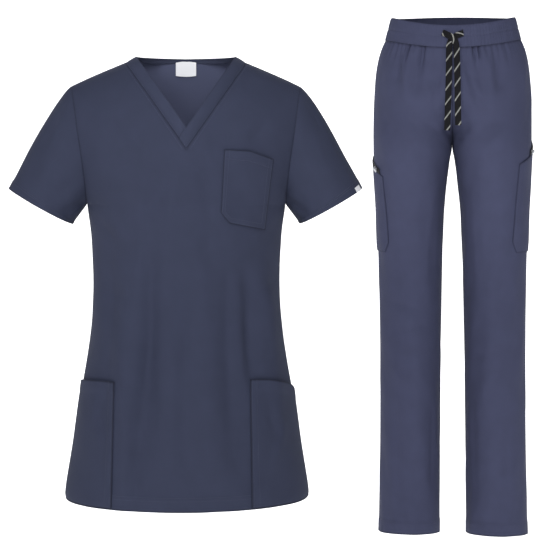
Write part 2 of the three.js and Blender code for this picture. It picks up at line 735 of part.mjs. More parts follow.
function plainTrouser(a, z, facing, side) {
  const angle = (1 - a) * (Math.PI / 2);
  const hipDepth = facing < 0 ? hip.front(z) : hip.back(z);
  const legDepth = facing < 0 ? leg.front(z) : leg.back(z);
  const hipX = hip.halfWidth(z) * Math.sin(angle);
  const hipY = hipDepth * Math.cos(angle);
  const middle = (leg.outer(z) + leg.inner(z)) / 2;
  const half = (leg.outer(z) - leg.inner(z)) / 2;
  const legX = middle + half * Math.cos(a * Math.PI);
  const legY = legDepth * Math.sin(a * Math.PI);
  const blend = 1 - smooth(crotch.z, crotch.blendFrom, z);
  const share = blend ** crotch.blendPower;
  const drift = legDrift * clamp((crotch.z - z) / (crotch.z - legHem), 0, 1);
  return new THREE.Vector3(side * mix(hipX, legX, share) + drift, facing * mix(hipY, legY, share), z);
}

function trouserPoint(a, z, facing, side) {
  const step = 0.01;
  const level = smooth(waist.levelBelow, waist.seam, z);
  const angle = (1 - a) * (Math.PI / 2);
  const shift = (waistLine(angle, facing, false) - waist.seam) * level;
  const cuff = smooth(cuffRiseFrom, legHem, z);
  const rise = facing < 0 ? cuffRise * Math.sin(a * Math.PI) * cuff : 0;
  const point = plainTrouser(a, z, facing, side);
  const low = Math.max(0, a - step);
  const high = Math.min(1, a + step);
  const sideways = plainTrouser(high, z, facing, side).sub(plainTrouser(low, z, facing, side));
  const out = new THREE.Vector3(sideways.y, -sideways.x, 0).multiplyScalar(side * facing).normalize();
  if (a === 0) out.set(side, 0, 0);
  const edges = smooth(0, 0.08, a) * smooth(0, 0.06, 1 - a);
  const name = facing < 0 ? "front" : "back";
  for (const fold of trouserFolds) {
    if (fold.side !== name || fold.leg !== side) continue;
    point.addScaledVector(out, edges * foldAt(fold, a, z, fold.a, fold.a2));
  }
  point.z += shift + rise;
  return point;
}

function legPanel(facing, side) {
  const rows = legRowHeights.length - 1;
  const surface = new Surface();
  const at = (i, j) => {
    const z = j === 0 ? waist.seam : legRowHeights[j];
    return trouserPoint(i / legColumns, z, facing, side);
  };
  return surface.grid(at, legColumns, rows, side * facing > 0);
}

const legPanels = [];
for (const side of [-1, 1]) {
  for (const facing of [-1, 1]) legPanels.push({ side, facing, surface: legPanel(facing, side) });
}

// Waistband: one ring over the panels, its top edge dipping in front
function bandPoint(turn, up) {
  const angle = turn * Math.PI * 2;
  const facing = Math.cos(angle) > 0 ? -1 : 1;
  const toSide = Math.abs(Math.asin(Math.sin(angle)));
  const low = waistLine(toSide, facing, false);
  const high = waistLine(toSide, facing, true);
  const z = mix(low, high, up);
  const flatZ = mix(waist.seam, waist.top, up);
  const depth = facing < 0 ? hip.front(flatZ) : hip.back(flatZ);
  return new THREE.Vector3(hip.halfWidth(flatZ) * Math.sin(angle), -depth * Math.cos(angle), z);
}
const bandAt = (i, j) => bandPoint((i % bandColumns) / bandColumns, j / 2);
const band = new Surface().grid(bandAt, bandColumns, 2, false);

joinSeams(legPanels.map((panel) => panel.surface));
squareToSeams();
const sideName = { "-1": "right", 1: "left" };
for (const { side, facing, surface } of legPanels) {
  const name = "trousers_" + (facing < 0 ? "front_" : "back_") + sideName[side];
  place(trousers, name, thicken(surface, wall), cloth);
}
seamNormals.clear();
place(trousers, "trousers_waistband", thicken(band, wall), cloth);

// A point over a leg: share positive on the front and negative on the back, lifted off the cloth
function legOver(share, z, side, lift) {
  const step = 0.004;
  const at = (s, height) => trouserPoint(Math.abs(s), height, s >= 0 ? -1 : 1, side);
  const round = at(share + step, z).sub(at(share - step, z));
  const down = at(share, z - 1).sub(at(share, z + 1));
  const out = round.cross(down).multiplyScalar(side).normalize();
  return at(share, z).addScaledVector(out, lift);
}

const pocketTop = (pocket, share) => pocket.topAtSeam - thighPocket.slant * share;

function thighPocketPoint(pocket, u, v) {
  const t = thighPocket;
  const cut = t.cutShare * (1 - clamp(v / t.cutHeight, 0, 1));
  const upper = clamp((v - t.cutHeight) / (1 - t.cutHeight), 0, 1);
  const front = mix(pocket.frontLow, pocket.frontTop, upper) - cut;
  const back = mix(t.backLow, t.backTop, upper) + cut;
  const share = mix(front, back, u);
  return legOver(share, mix(t.low, pocketTop(pocket, share), v), pocket.side, layerGap + wall);
}

function zipPoint(pocket, u, v) {
  const share = mix(pocket.zipFront, thighPocket.backTop, u);
  const low = pocketTop(pocket, share) + zipTape.gap;
  return legOver(share, low + zipTape.width * v, pocket.side, layerGap + trimWall);
}

// A closed geometry as a solid, and back again
function solidOf(geometry, move = [0, 0, 0]) {
  const plain = geometry.clone();
  plain.deleteAttribute("normal");
  plain.deleteAttribute("uv");
  plain.translate(...move);
  const merged = mergeVertices(plain, 1e-4);
  const vertProperties = merged.attributes.position.array;
  const triVerts = new Uint32Array(merged.index.array);
  return new wasm.Manifold(new wasm.Mesh({ numProp: 3, vertProperties, triVerts }));
}

function geometryOf(solid) {
  const mesh = solid.getMesh();
  const geometry = new THREE.BufferGeometry();
  geometry.setAttribute("position", new THREE.BufferAttribute(mesh.vertProperties, 3));
  geometry.setIndex(new THREE.BufferAttribute(mesh.triVerts, 1));
  return geometry;
}

// Slider: a rounded plate with two lugs and a pin across them; x runs along the zip, z points out
const sliderTop = slider.lift + slider.thick;
const pinHeight = sliderTop + pull.eyeRadius + pin.clear;
function roundedPlate(long, wide, thick, radius) {
  const shape = new THREE.Shape();
  const [hx, hy] = [long / 2 - radius, wide / 2 - radius];
  shape.absarc(hx, hy, radius, 0, Math.PI / 2);
  shape.absarc(-hx, hy, radius, Math.PI / 2, Math.PI);
  shape.absarc(-hx, -hy, radius, Math.PI, Math.PI * 1.5);
  shape.absarc(hx, -hy, radius, Math.PI * 1.5, Math.PI * 2);
  return new THREE.ExtrudeGeometry(shape, { depth: thick, bevelEnabled: false, curveSegments: 1 });
}

function sliderSolid() {
  const lugTop = pinHeight + pin.radius + lug.overPin;
  const lugLow = sliderTop - lug.sunk;
  const plate = roundedPlate(slider.long, slider.wide, slider.thick, slider.corner);
  let solid = solidOf(plate, [0, 0, slider.lift]);
  for (const side of [-1, 1]) {
    const upright = new THREE.BoxGeometry(lug.long, lug.wide, lugTop - lugLow);
    solid = solid.add(solidOf(upright, [0, side * lug.at, (lugTop + lugLow) / 2]));
  }
  const rod = new THREE.CylinderGeometry(pin.radius, pin.radius, lug.at * 2, 10);
  return geometryOf(solid.add(solidOf(rod, [0, 0, pinHeight])));
}

// Pull tab: an eye round the pin, a narrow neck between the lugs, then a rounded tab with a hole
function pullSolid() {
  const eye = new THREE.CylinderGeometry(pull.eyeRadius, pull.eyeRadius, pull.eyeWide, 14);
  const neckLong = pull.neck + pull.neckOverlap;
  const neck = new THREE.BoxGeometry(neckLong, pull.eyeWide, pull.thick);
  const tabLong = pull.long - pull.neck;
  const tab = roundedPlate(tabLong, pull.wide, pull.thick, pull.corner);
  const hole = new THREE.CylinderGeometry(pull.tipHoleRadius, pull.tipHoleRadius, pull.thick * 3, 12);
  const bore = new THREE.CylinderGeometry(pull.boreRadius, pull.boreRadius, pull.eyeWide * 2, 12);
  const solid = solidOf(eye)
    .add(solidOf(neck, [neckLong / 2, 0, 0]))
    .add(solidOf(tab, [pull.neck + tabLong / 2, 0, -pull.thick / 2]))
    .subtract(solidOf(bore))
    .subtract(solidOf(hole.rotateX(Math.PI / 2), [pull.long - pull.tipHoleFromEnd, 0, 0]));
  return geometryOf(solid);
}

for (const pocket of thighPockets) {
  const name = sideName[pocket.side];
  const right = pocket.side < 0;
  const pocketAt = (u, v) => thighPocketPoint(pocket, u, v);
  const patch = laid(pocketAt, thighPocket.columns, thighPocket.rows, wall, right);
  place(trousers, "trousers_thigh_pocket_" + name, patch, cloth);
  const tape = laid((u, v) => zipPoint(pocket, u, v), thighPocket.columns, 1, trimWall, right);
  place(trousers, "trousers_zip_" + name, tape, blackTape);

  // The slider sits on the tape, its length down the zip towards the front
  const u = (pocket.zipFront - pocket.sliderAt) / (pocket.zipFront - thighPocket.backTop);
  const seat = zipPoint(pocket, u, 0.5);
  const along = zipPoint(pocket, u - 0.02, 0.5).sub(zipPoint(pocket, u + 0.02, 0.5)).normalize();
  const up = zipPoint(pocket, u, 1).sub(zipPoint(pocket, u, 0)).normalize();
  const out = along.clone().cross(up).multiplyScalar(-pocket.side).normalize();
  if (out.x * pocket.side < 0) out.negate();
  const across = out.clone().cross(along).normalize();
  const axes = new THREE.Matrix4().makeBasis(along, across, out);
  const turn = new THREE.Quaternion().setFromRotationMatrix(axes);
  const body = new THREE.Group();
  body.position.copy(seat);
  body.quaternion.copy(turn);
  trousers.add(body);
  place(body, "trousers_zip_slider_" + name, sliderSolid(), metal);
  const tab = new THREE.Group();
  tab.position.set(0, 0, pinHeight);
  body.add(tab);
  place(tab, "trousers_zip_pull_" + name, pullSolid(), metal);
}

// Drawcords: a flat section swept along each route, its flat side facing out
function flatCord(route) {
  const stops = route.map((point) => new THREE.Vector3(point.x, point.y, point.z));
  const curve = new THREE.CatmullRomCurve3(stops);
  const steps = Math.round(curve.getLength() / cord.step);
  const [hw, ht, c] = [cord.wide / 2, cord.thick / 2, cord.corner];
  const half = [[hw, c - ht], [hw, ht - c], [hw - c, ht], [c - hw, ht]];
  const section = [...half, ...half.map(([w, t]) => [-w, -t])];
  const positions = [];
  const indices = [];
  for (let j = 0; j <= steps; j += 1) {
    const middle = curve.getPointAt(j / steps);
    const along = curve.getTangentAt(j / steps);
    const out = new THREE.Vector3(0, -1, 0).addScaledVector(along, along.y).normalize();
    const across = along.clone().cross(out);
    for (const [w, t] of section) {
      positions.push(...middle.clone().addScaledVector(across, w).addScaledVector(out, t).toArray());
    }
  }
  const sides = section.length;
  for (let j = 0; j < steps; j += 1) {
    for (let i = 0; i < sides; i += 1) {
      const [a, b] = [j * sides + i, j * sides + ((i + 1) % sides)];
      indices.push(a, b + sides, b, a, a + sides, b + sides);
    }
  }
  const last = steps * sides;
  for (let i = 1; i < sides - 1; i += 1) {
    indices.push(0, i, i + 1, last, last + i + 1, last + i);
  }
  const geometry = new THREE.BufferGeometry();
  geometry.setAttribute("position", new THREE.Float32BufferAttribute(positions, 3));
  geometry.setIndex(indices);
  return geometry;
}
for (const [name, route] of Object.entries(cordRoutes)) {
  place(trousers, "drawcord_" + name, flatCord(route), blackTape);
}

export default group;
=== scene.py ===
# %% [markdown]
# # Medical scrubs: a V-neck top and drawcord trousers
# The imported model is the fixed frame. Every cloth panel here is a thin shell on the form of its solid,
# with the finer creases, seams, stitching and weave that the solids leave out. Pattern sizes are in
# millimetres, as a maker writes them, and become metres when a mesh is made.

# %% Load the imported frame
import math

import bmesh
import bpy
import numpy as np
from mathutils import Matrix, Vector


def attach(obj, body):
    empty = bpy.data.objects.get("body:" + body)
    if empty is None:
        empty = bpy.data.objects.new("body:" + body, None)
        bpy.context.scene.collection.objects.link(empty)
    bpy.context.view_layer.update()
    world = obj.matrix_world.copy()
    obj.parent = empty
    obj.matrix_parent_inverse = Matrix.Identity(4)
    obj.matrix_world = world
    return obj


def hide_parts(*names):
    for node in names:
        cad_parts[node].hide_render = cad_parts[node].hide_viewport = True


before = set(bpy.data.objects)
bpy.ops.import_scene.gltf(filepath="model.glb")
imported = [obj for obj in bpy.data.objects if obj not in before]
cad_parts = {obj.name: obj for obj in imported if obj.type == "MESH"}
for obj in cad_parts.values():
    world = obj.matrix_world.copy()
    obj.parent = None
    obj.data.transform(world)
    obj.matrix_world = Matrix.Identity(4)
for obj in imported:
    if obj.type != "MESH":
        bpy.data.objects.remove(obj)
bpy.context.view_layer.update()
MM = 0.001
BODY = "garments"

# %% [markdown]
# ## Camera
# The photo is taken from far off with a long lens, level with the chest. A turn and a small tilt of the
# camera put both garments in their places, so the lens needs no shift.

# %% Place the camera
CAMERA_PLACE = (0.0, -2.8, -0.125)
CAMERA_TURN = math.radians(2.805)
CAMERA_TILT = math.radians(4.337)
camera_data = bpy.data.cameras.new("camera")
camera_data.lens = 118.24
camera_data.sensor_width = 36.0
camera = bpy.data.objects.new("camera", camera_data)
camera.location = CAMERA_PLACE
camera.rotation_euler = (math.pi / 2 - CAMERA_TILT, 0, -CAMERA_TURN)
bpy.context.scene.collection.objects.link(camera)
bpy.context.scene.camera = camera
print("camera at", CAMERA_PLACE)

# %% [markdown]
# ## Small helpers
# A panel is worked out for many points at once, so the helpers take arrays. A table has named columns,
# and a reader runs a smooth curve through one column by height, as the pattern of the solids does.


# %% Blend, clamp and ease
def mix(a, b, t):
    return a + (b - a) * t


def ease(start, end, value):
    t = np.clip((value - start) / (end - start), 0, 1)
    return t * t * (3 - 2 * t)


def unit(vectors):
    return vectors / np.maximum(np.linalg.norm(vectors, axis=-1, keepdims=True), 1e-12)


def points(x, y, z):
    return np.stack(np.broadcast_arrays(x, y, z), axis=-1).astype(float)


print("ease half way", float(ease(0, 1, 0.5)))


# %% Tables with named columns
def table(names, *rows):
    return dict(zip(names.split(), np.array(rows, float).T))


def rows_of(made):
    names = list(made)
    return [dict(zip(names, row)) for row in zip(*made.values())]


def reader(made, name):
    order = np.argsort(made["z"])
    z, value = made["z"][order], made[name][order]
    rise_ahead = np.append(value[1:], value[-1]) - np.append(value[0], value[:-1])
    slope = rise_ahead / (np.append(z[1:], z[-1]) - np.append(z[0], z[:-1]))

    def read(at):
        at = np.clip(at, z[0], z[-1])
        i = np.clip(np.searchsorted(z, at) - 1, 0, len(z) - 2)
        span = z[i + 1] - z[i]
        t = (at - z[i]) / span
        leave = t * (1 - t) ** 2 * span * slope[i]
        arrive = t * t * (t - 1) * span * slope[i + 1]
        return mix(value[i], value[i + 1], t * t * (3 - 2 * t)) + leave + arrive

    return read


print("reader of two rows", float(reader(table("z v", (0, 1), (10, 3)), "v")(5)))


# %% Folds and creases
FOLD_FADE, FOLD_SPILL = 0.3, 0.2


def fold(row, across, z, start, end):
    """The solids' own fold: a trough or ridge that runs by height and fades at its ends."""
    t = np.clip((z - row["z"]) / (row["z2"] - row["z"]), 0, 1)
    reach = abs(row["z2"] - row["z"]) * FOLD_FADE
    spill = reach * FOLD_SPILL
    ends = ease(row["z2"] - spill, row["z2"] + reach, z) * (1 - ease(row["z"] - reach, row["z"] + spill, z))
    away = (across - mix(start, end, t)) / row["width"]
    return row["height"] * np.exp(-away * away) * ends


def crease(row, x, z):
    """A finer crease between two places in any direction, with a bow in the middle."""
    run_x, run_z = row["x2"] - row["x"], row["z2"] - row["z"]
    long = math.hypot(run_x, run_z)
    t = ((x - row["x"]) * run_x + (z - row["z"]) * run_z) / long**2
    off = ((x - row["x"]) * run_z - (z - row["z"]) * run_x) / long
    off = off - row["bow"] * np.sin(math.pi * np.clip(t, 0, 1))
    fade = ease(-0.12, 0.35, t) * (1 - ease(0.6, 1.12, t))
    return row["height"] * np.exp(-((off / row["width"]) ** 2)) * fade


def unevenness(x, z, seed):
    """The slight wander of cloth that hangs free, from a few long waves."""
    total = 0
    waves = [(83, 190, 0.5), (51, 310, 0.35), (137, 97, 0.4), (34, 61, 0.14)]
    for k, (long_x, long_z, high) in enumerate(waves):
        total = total + high * np.sin(2 * math.pi * (x / long_x + z / long_z) + 1.7 * k + seed)
    return total


print("wave height about", round(float(unevenness(10.0, 20.0, 1.0)), 2), "mm")

# %% [markdown]
# ## Shader maths
# A material is easier to read as a sum than as a web of nodes. One small class wraps a socket, so that
# Python's own signs add the Math nodes, and one method adds every other node.


# %% A socket that can be added and multiplied
class Signal:
    def __init__(self, finish, socket):
        self.finish = finish
        self.socket = socket

    def math(self, operation, first, second=0.0):
        node = self.finish.node("ShaderNodeMath", {"operation": operation}, {0: first, 1: second})
        return Signal(self.finish, node.outputs[0])

    def __add__(self, other):
        return self.math("ADD", self, other)

    def __sub__(self, other):
        return self.math("SUBTRACT", self, other)

    def __rsub__(self, other):
        return self.math("SUBTRACT", other, self)

    def __mul__(self, other):
        return self.math("MULTIPLY", self, other)

    def __truediv__(self, other):
        return self.math("DIVIDE", self, other)

    def __lt__(self, other):
        return self.math("LESS_THAN", self, other)

    def wave(self, long):
        """A wave from 0 to 1 with crests this far apart."""
        return self.math("SINE", self * (2 * math.pi / long)) * 0.5 + 0.5

    def share(self, long):
        """How far along a repeat of this length, from 0 to 1."""
        return self.math("FRACT", self / long)

    __radd__ = __add__
    __rmul__ = __mul__


# %% A finish: one Principled material
class Finish:
    def __init__(self, name, **constants):
        self.material = bpy.data.materials.new(name)
        self.material.use_nodes = True
        self.tree = self.material.node_tree
        self.shader = self.tree.nodes["Principled BSDF"]
        for socket, value in constants.items():
            self.set(self.shader, socket.replace("_", " ").title(), value)
        print("finish", name)

    def set(self, node, socket, value):
        if isinstance(value, Signal):
            value = value.socket
        if isinstance(value, bpy.types.NodeSocket):
            self.tree.links.new(value, node.inputs[socket])
        else:
            node.inputs[socket].default_value = value

    def node(self, kind, settings=None, sockets=None):
        node = self.tree.nodes.new(kind)
        for name, value in (settings or {}).items():
            if name == "stops":
                for stop, (place, colour) in zip(node.color_ramp.elements, value):
                    stop.position = place
                    stop.color = colour
            else:
                setattr(node, name, value)
        for socket, value in (sockets or {}).items():
            self.set(node, socket, value)
        return node

    def signal(self, socket):
        return Signal(self, socket)

    def pattern(self):
        """The piece's own UV map, in metres across and along the cloth."""
        uv = self.node("ShaderNodeUVMap", {"uv_map": "cut"})
        split = self.node("ShaderNodeSeparateXYZ", {}, {0: uv.outputs[0]})
        return self.signal(split.outputs[0]), self.signal(split.outputs[1])

    def seam(self):
        """1 at most for the painted shade at the sewn or folded rim of a piece, 0 on its right side and -1 on
        its wrong side.
        """
        return self.signal(self.node("ShaderNodeAttribute", {"attribute_name": "seam"}).outputs["Fac"])

    def noise(self, scale, detail=2.0):
        place = self.node("ShaderNodeTexCoord").outputs["Object"]
        made = self.node("ShaderNodeTexNoise", {}, {"Vector": place, "Scale": scale, "Detail": detail})
        return self.signal(made.outputs[0])

    def tone(self, share, dark, light):
        made = self.node("ShaderNodeMix", {"data_type": "RGBA"}, {0: share, 6: dark, 7: light})
        return made.outputs[2]

    def paint(self, share, dark, light):
        """Base colour between two screen colours."""
        self.set(self.shader, "Base Color", self.tone(share, colour(*dark), colour(*light)))

    def bump(self, height, deep, strength=1.0):
        made = self.node("ShaderNodeBump", {}, {"Height": height, "Distance": deep, "Strength": strength})
        self.set(self.shader, "Normal", made.outputs[0])


def colour(red, green, blue):
    """A colour from screen values of 0 to 255."""
    linear = [((c / 255 + 0.055) / 1.055) ** 2.4 if c > 10 else c / 255 / 12.92 for c in (red, green, blue)]
    return (*linear, 1.0)


# %% [markdown]
# ## Finishes
# The scrubs are one slate-navy twill of fine yarn: matt, faintly mottled, with a soft sheen at grazing
# angles. The weave reads the cut's own map, so that its ribs run with each panel. It is far finer than a
# pixel of the photo, so it stays a bump and a slight change of tone. The rims of the pieces carry painted
# shade: a darker colour that stands for the shadow lines along seams and edges, and each vertex keeps how
# near the rim it is. The wrong side of the top's cloth is painted paler, partly as a twill's back is and
# partly as painted light on the inside of the back.

# %% Slate twill
TWILL_PITCH = 0.0011
YARN_PITCH = 0.00055
MATT_SPECULAR = 0.12
# Painted shade at the rims of the pieces: how far the colour darkens there, and the dark colour it darkens
# towards.
RIM_SHADE, RIM_SHADE_COLOUR = 0.8, colour(14, 15, 24)


def slate_twill(name, dark, light, wrong_side_and_painted_light):
    """One copy of the twill, painted darker or lighter for the light that falls on its garment: the darkest
    and lightest tone of its right side, and its wrong side.
    """
    finish = Finish(name, roughness=0.82, sheen_weight=0.03, sheen_roughness=0.5)
    finish.set(finish.shader, "Specular IOR Level", MATT_SPECULAR)
    finish.set(finish.shader, "Sheen Tint", colour(150, 158, 190))
    across, along = finish.pattern()
    rib = (across + along).wave(TWILL_PITCH)
    yarn = across.wave(YARN_PITCH) * along.wave(YARN_PITCH)
    weave = rib * 0.7 + yarn * 0.3
    mottle = finish.noise(38.0, 3.0)
    cloth = finish.tone(weave * 0.35 + mottle * 0.65, colour(*dark), colour(*light))
    # The wrong side has its own colour; on the top and its bands it is painted paler, partly as a twill's
    # back is paler and partly as painted light on the inside of the back.
    both_sides = finish.tone(0.0 - finish.seam(), cloth, colour(*wrong_side_and_painted_light))
    # Painted shade: the colour darkens towards the rim shade colour near the rims of each piece.
    finish.set(finish.shader, "Base Color", finish.tone(finish.seam() * RIM_SHADE, both_sides, RIM_SHADE_COLOUR))
    finish.set(finish.shader, "Roughness", 0.78 + mottle * 0.1)
    finish.bump(weave, 0.00018, 0.5)
    return finish.material


# Shaded and lit copies of one twill: the trousers' copy is painted lighter than the top's, for the light that
# falls on each garment.
slate = slate_twill("slate_twill_top_painted_darker", (37, 41, 57), (46, 50, 68), (62, 66, 87))
slate_legs_painted_lighter = slate_twill("slate_twill_trousers_painted_lighter", (53, 56, 77), (64, 67, 91), (52, 55, 76))
slate_band = slate_twill("slate_band", (38, 42, 58), (47, 51, 69), (50, 54, 72))
slate_thread = Finish("slate_thread", roughness=0.7)
thread_twist = slate_thread.noise(900.0, 1.0)
slate_thread.paint(thread_twist, (40, 43, 62), (58, 62, 84))
slate_thread = slate_thread.material

# %% Black drawcord with thin light stripes
CORD_WIDE = 11.6
STRIPE_PITCH = 0.0275
STRIPE_RISE = 1.42
STRIPE_SHARE = 0.15
cord_finish = Finish("striped_drawcord", roughness=0.75)
cord_finish.set(cord_finish.shader, "Specular IOR Level", 0.15)
cord_across, cord_along = cord_finish.pattern()
braid = (cord_along + cord_across).wave(0.0016) * (cord_along - cord_across).wave(0.0016)
stripe = (cord_along - cord_across * STRIPE_RISE).share(STRIPE_PITCH) < STRIPE_SHARE
cord_black = cord_finish.tone(braid, colour(9, 9, 12), colour(22, 22, 26))
cord_light = cord_finish.tone(braid, colour(112, 113, 110), colour(142, 143, 139))
cord_finish.set(cord_finish.shader, "Base Color", cord_finish.tone(stripe, cord_black, cord_light))
cord_finish.bump(braid, 0.0003, 0.6)
drawcord = cord_finish.material

# %% Zip tape, zip metal and white label
tape_finish = Finish("zip_tape", roughness=0.75)
tape_across = tape_finish.pattern()[0]
tape_rib = tape_across.wave(0.0009)
tape_finish.paint(tape_rib, (14, 14, 18), (30, 30, 36))
tape_finish.bump(tape_rib, 0.0002, 0.5)
zip_tape = tape_finish.material

metal_finish = Finish("zip_metal", metallic=1.0, roughness=0.34)
wear = metal_finish.noise(420.0, 3.0)
metal_finish.paint(wear, (150, 152, 158), (196, 198, 202))
metal_finish.set(metal_finish.shader, "Roughness", 0.26 + wear * 0.2)
metal_finish.bump(wear, 0.00005, 0.3)
zip_metal = metal_finish.material

label_finish = Finish("label_white", roughness=0.55)
label_across, label_along = label_finish.pattern()
satin = label_across.wave(0.0007) * 0.6 + label_along.wave(0.0011) * 0.4
label_finish.paint(satin, (192, 193, 198), (208, 209, 213))
label_finish.bump(satin, 0.00008, 0.4)
label_white = label_finish.material

# %% [markdown]
# ## From a pattern to a cloth shell
# Each panel starts as a flat grid, as the cut cloth is flat. A pattern function says where each point of
# the grid hangs, the grid is moved there, and Solidify gives the cloth its thickness inwards. The map
# keeps the cloth's real width and length in metres, which scales the weave.


# %% Move flat grids to their places
def lay_grid(shape, pattern, columns, rows):
    """Adds a grid whose points follow pattern(u, v), with u and v from 0 to 1."""
    cut = shape.loops.layers.uv.get("cut") or shape.loops.layers.uv.new("cut")
    made = bmesh.ops.create_grid(shape, x_segments=columns, y_segments=rows, size=0.5, calc_uvs=True)["verts"]
    flat = np.array([vertex.co for vertex in made], float)
    u, v = np.clip(flat[:, 0] + 0.5, 0, 1), np.clip(flat[:, 1] + 0.5, 0, 1)
    placed = pattern(u, v) * MM
    for vertex, place in zip(made, placed):
        vertex.co = place
    middle = np.full(65, 0.5)
    sweep = np.linspace(0, 1, 65)
    line = pattern(sweep, middle)
    wide = np.linalg.norm(np.diff(line, axis=0), axis=1).sum() * MM * (-1 if line[-1, 0] < line[0, 0] else 1)
    long = np.linalg.norm(np.diff(pattern(middle, sweep), axis=0), axis=1).sum() * MM
    own = {face for vertex in made for face in vertex.link_faces}
    for face in own:
        for loop in face.loops:
            loop[cut].uv = (loop[cut].uv[0] * wide, loop[cut].uv[1] * long)
    return made


def object_from(shape, name, material):
    mesh = bpy.data.meshes.new(name)
    shape.to_mesh(mesh)
    shape.free()
    mesh.materials.append(material)
    made = bpy.data.objects.new(name, mesh)
    bpy.context.scene.collection.objects.link(made)
    return made


def applied(made, sharp=math.radians(50)):
    """Applies the object's modifiers and shades it smooth, apart from its cut edges."""
    bpy.context.view_layer.update()
    graph = bpy.context.evaluated_depsgraph_get()
    mesh = bpy.data.meshes.new_from_object(made.evaluated_get(graph), depsgraph=graph)
    old = made.data
    made.modifiers.clear()
    made.data = mesh
    bpy.data.meshes.remove(old)
    mesh.name = made.name
    mesh.polygons.foreach_set("use_smooth", np.ones(len(mesh.polygons), bool))
    mesh.set_sharp_from_angle(angle=sharp)
    return made


def mark_wrong_side(made):
    """Solidify keeps the outer vertices first and adds the inner ones after them."""
    sides = made.data.attributes["seam"].data
    kept = np.empty(len(sides), np.float32)
    sides.foreach_get("value", kept)
    kept[len(sides) // 2 :] = -1
    sides.foreach_set("value", kept)


def shell(name, patterns, columns, rows, thick, material, outward, replaced, rim=0.5):
    """A cloth shell; outward gives a direction out of the garment, rim says how much painted shade darkens
    its rims.
    """
    shape = bmesh.new()
    for pattern in patterns:
        lay_grid(shape, pattern, columns, rows)
    bmesh.ops.remove_doubles(shape, verts=shape.verts, dist=0.02 * MM)
    bmesh.ops.recalc_face_normals(shape, faces=shape.faces)
    score = sum(face.normal.dot(Vector(outward(face.calc_center_median()))) for face in shape.faces)
    if score < 0:
        bmesh.ops.reverse_faces(shape, faces=shape.faces)
    area = sum(face.calc_area() for face in shape.faces)
    # Painted shade: each rim vertex keeps how strongly the material darkens it.
    seam = shape.verts.layers.float.new("seam")
    for vertex in shape.verts:
        vertex[seam] = rim * vertex.is_boundary
    made = object_from(shape, name, material)
    solidify = made.modifiers.new("thickness", "SOLIDIFY")
    solidify.thickness = thick * MM
    solidify.offset = -1
    applied(made)
    mark_wrong_side(made)
    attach(made, BODY)
    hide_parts(replaced)
    made["area"] = area
    print(name, len(made.data.polygons), "faces,", round(area, 4), "square metres")
    return made


def declare(made, wide, long, rests_on):
    """Prints the cut's size; the flat area, the smaller of the shell's outer area and the cut's, is worked
    out but not kept.
    """
    min(made["area"], wide * long)
    print("   cut", round(wide, 3), "by", round(long, 3), "m")


# %% [markdown]
# ## Where the trousers stand
# The trousers stand beside and behind the top, and are turned a little, so their pattern has a frame of
# its own.

# %% Own frame of the trousers
TROUSERS_X, TROUSERS_Y, TROUSERS_TURN = 516.5, 701.5, math.radians(-8.4)
TURN_ROWS = np.array(
    [
        [math.cos(TROUSERS_TURN), -math.sin(TROUSERS_TURN), 0],
        [math.sin(TROUSERS_TURN), math.cos(TROUSERS_TURN), 0],
        [0, 0, 1],
    ]
)


def stand(own):
    """Trouser points from their own frame to the shared one, in millimetres."""
    return own @ TURN_ROWS.T + np.array([TROUSERS_X, TROUSERS_Y, 0])


def beside_axis(place):
    """Out of a leg or the hips: away from the trousers' upright axis."""
    return (place[0] - TROUSERS_X * MM, place[1] - TROUSERS_Y * MM, 0)


print("trousers stand at", stand(np.zeros((1, 3)))[0])

# %% [markdown]
# ## Drawcords
# A flat woven cord comes out of each buttonhole. The two cross over the middle of the waistband and hang
# down in front, cut plain at their ends. Each is a flat rounded section swept along a given route,
# because a flat cord keeps its face to the front and a plain curve bevel would turn it.

# %% Routes, in metres in the trousers' own frame
CORD_THICK = 2.0
CORD_STEPS, CORD_ROUND = 110, 20
CORD_SQUARE = {"wide": 0.42, "thick": 0.62}
CORD_ROUTES = {
    "right": [
        (-0.019, -0.0988, 0.073), (-0.015, -0.1015, 0.071), (-0.009, -0.1045, 0.068),
        (-0.002, -0.106, 0.064), (0.0035, -0.1066, 0.058), (0.0062, -0.1072, 0.049),
        (0.0074, -0.1086, 0.036), (0.0082, -0.112, 0.016), (0.0089, -0.115, -0.008),
        (0.0096, -0.1166, -0.036), (0.0103, -0.117, -0.066), (0.0112, -0.117, -0.101),
    ],
    "left": [
        (0.019, -0.099, 0.0715), (0.015, -0.1005, 0.0705), (0.009, -0.1017, 0.068),
        (0.002, -0.1022, 0.064), (-0.0034, -0.103, 0.058), (-0.0066, -0.104, 0.049),
        (-0.0069, -0.1062, 0.036), (-0.007, -0.1102, 0.016), (-0.0072, -0.1134, -0.008),
        (-0.0076, -0.1154, -0.036), (-0.0084, -0.1158, -0.07), (-0.0096, -0.1158, -0.1105),
    ],
}


def smooth_route(route, steps):
    """Even steps along a smooth curve through the route's points."""
    knots = np.array(route, float)
    ends = np.vstack([2 * knots[0] - knots[1], knots, 2 * knots[-1] - knots[-2]])
    fine = []
    for i in range(len(knots) - 1):
        p0, p1, p2, p3 = ends[i : i + 4]
        t = np.linspace(0, 1, 24, endpoint=False)[:, None]
        blend_in = 2 * p1 + (p2 - p0) * t
        turn, tail = 2 * p0 - 5 * p1 + 4 * p2 - p3, 3 * p1 - p0 - 3 * p2 + p3
        fine.append(0.5 * (blend_in + turn * t**2 + tail * t**3))
    line = np.vstack([*fine, knots[-1:]])
    gone = np.append(0, np.cumsum(np.linalg.norm(np.diff(line, axis=0), axis=1)))
    even = np.linspace(0, gone[-1], steps + 1)
    return np.stack([np.interp(even, gone, line[:, k]) for k in range(3)], axis=1), gone[-1]


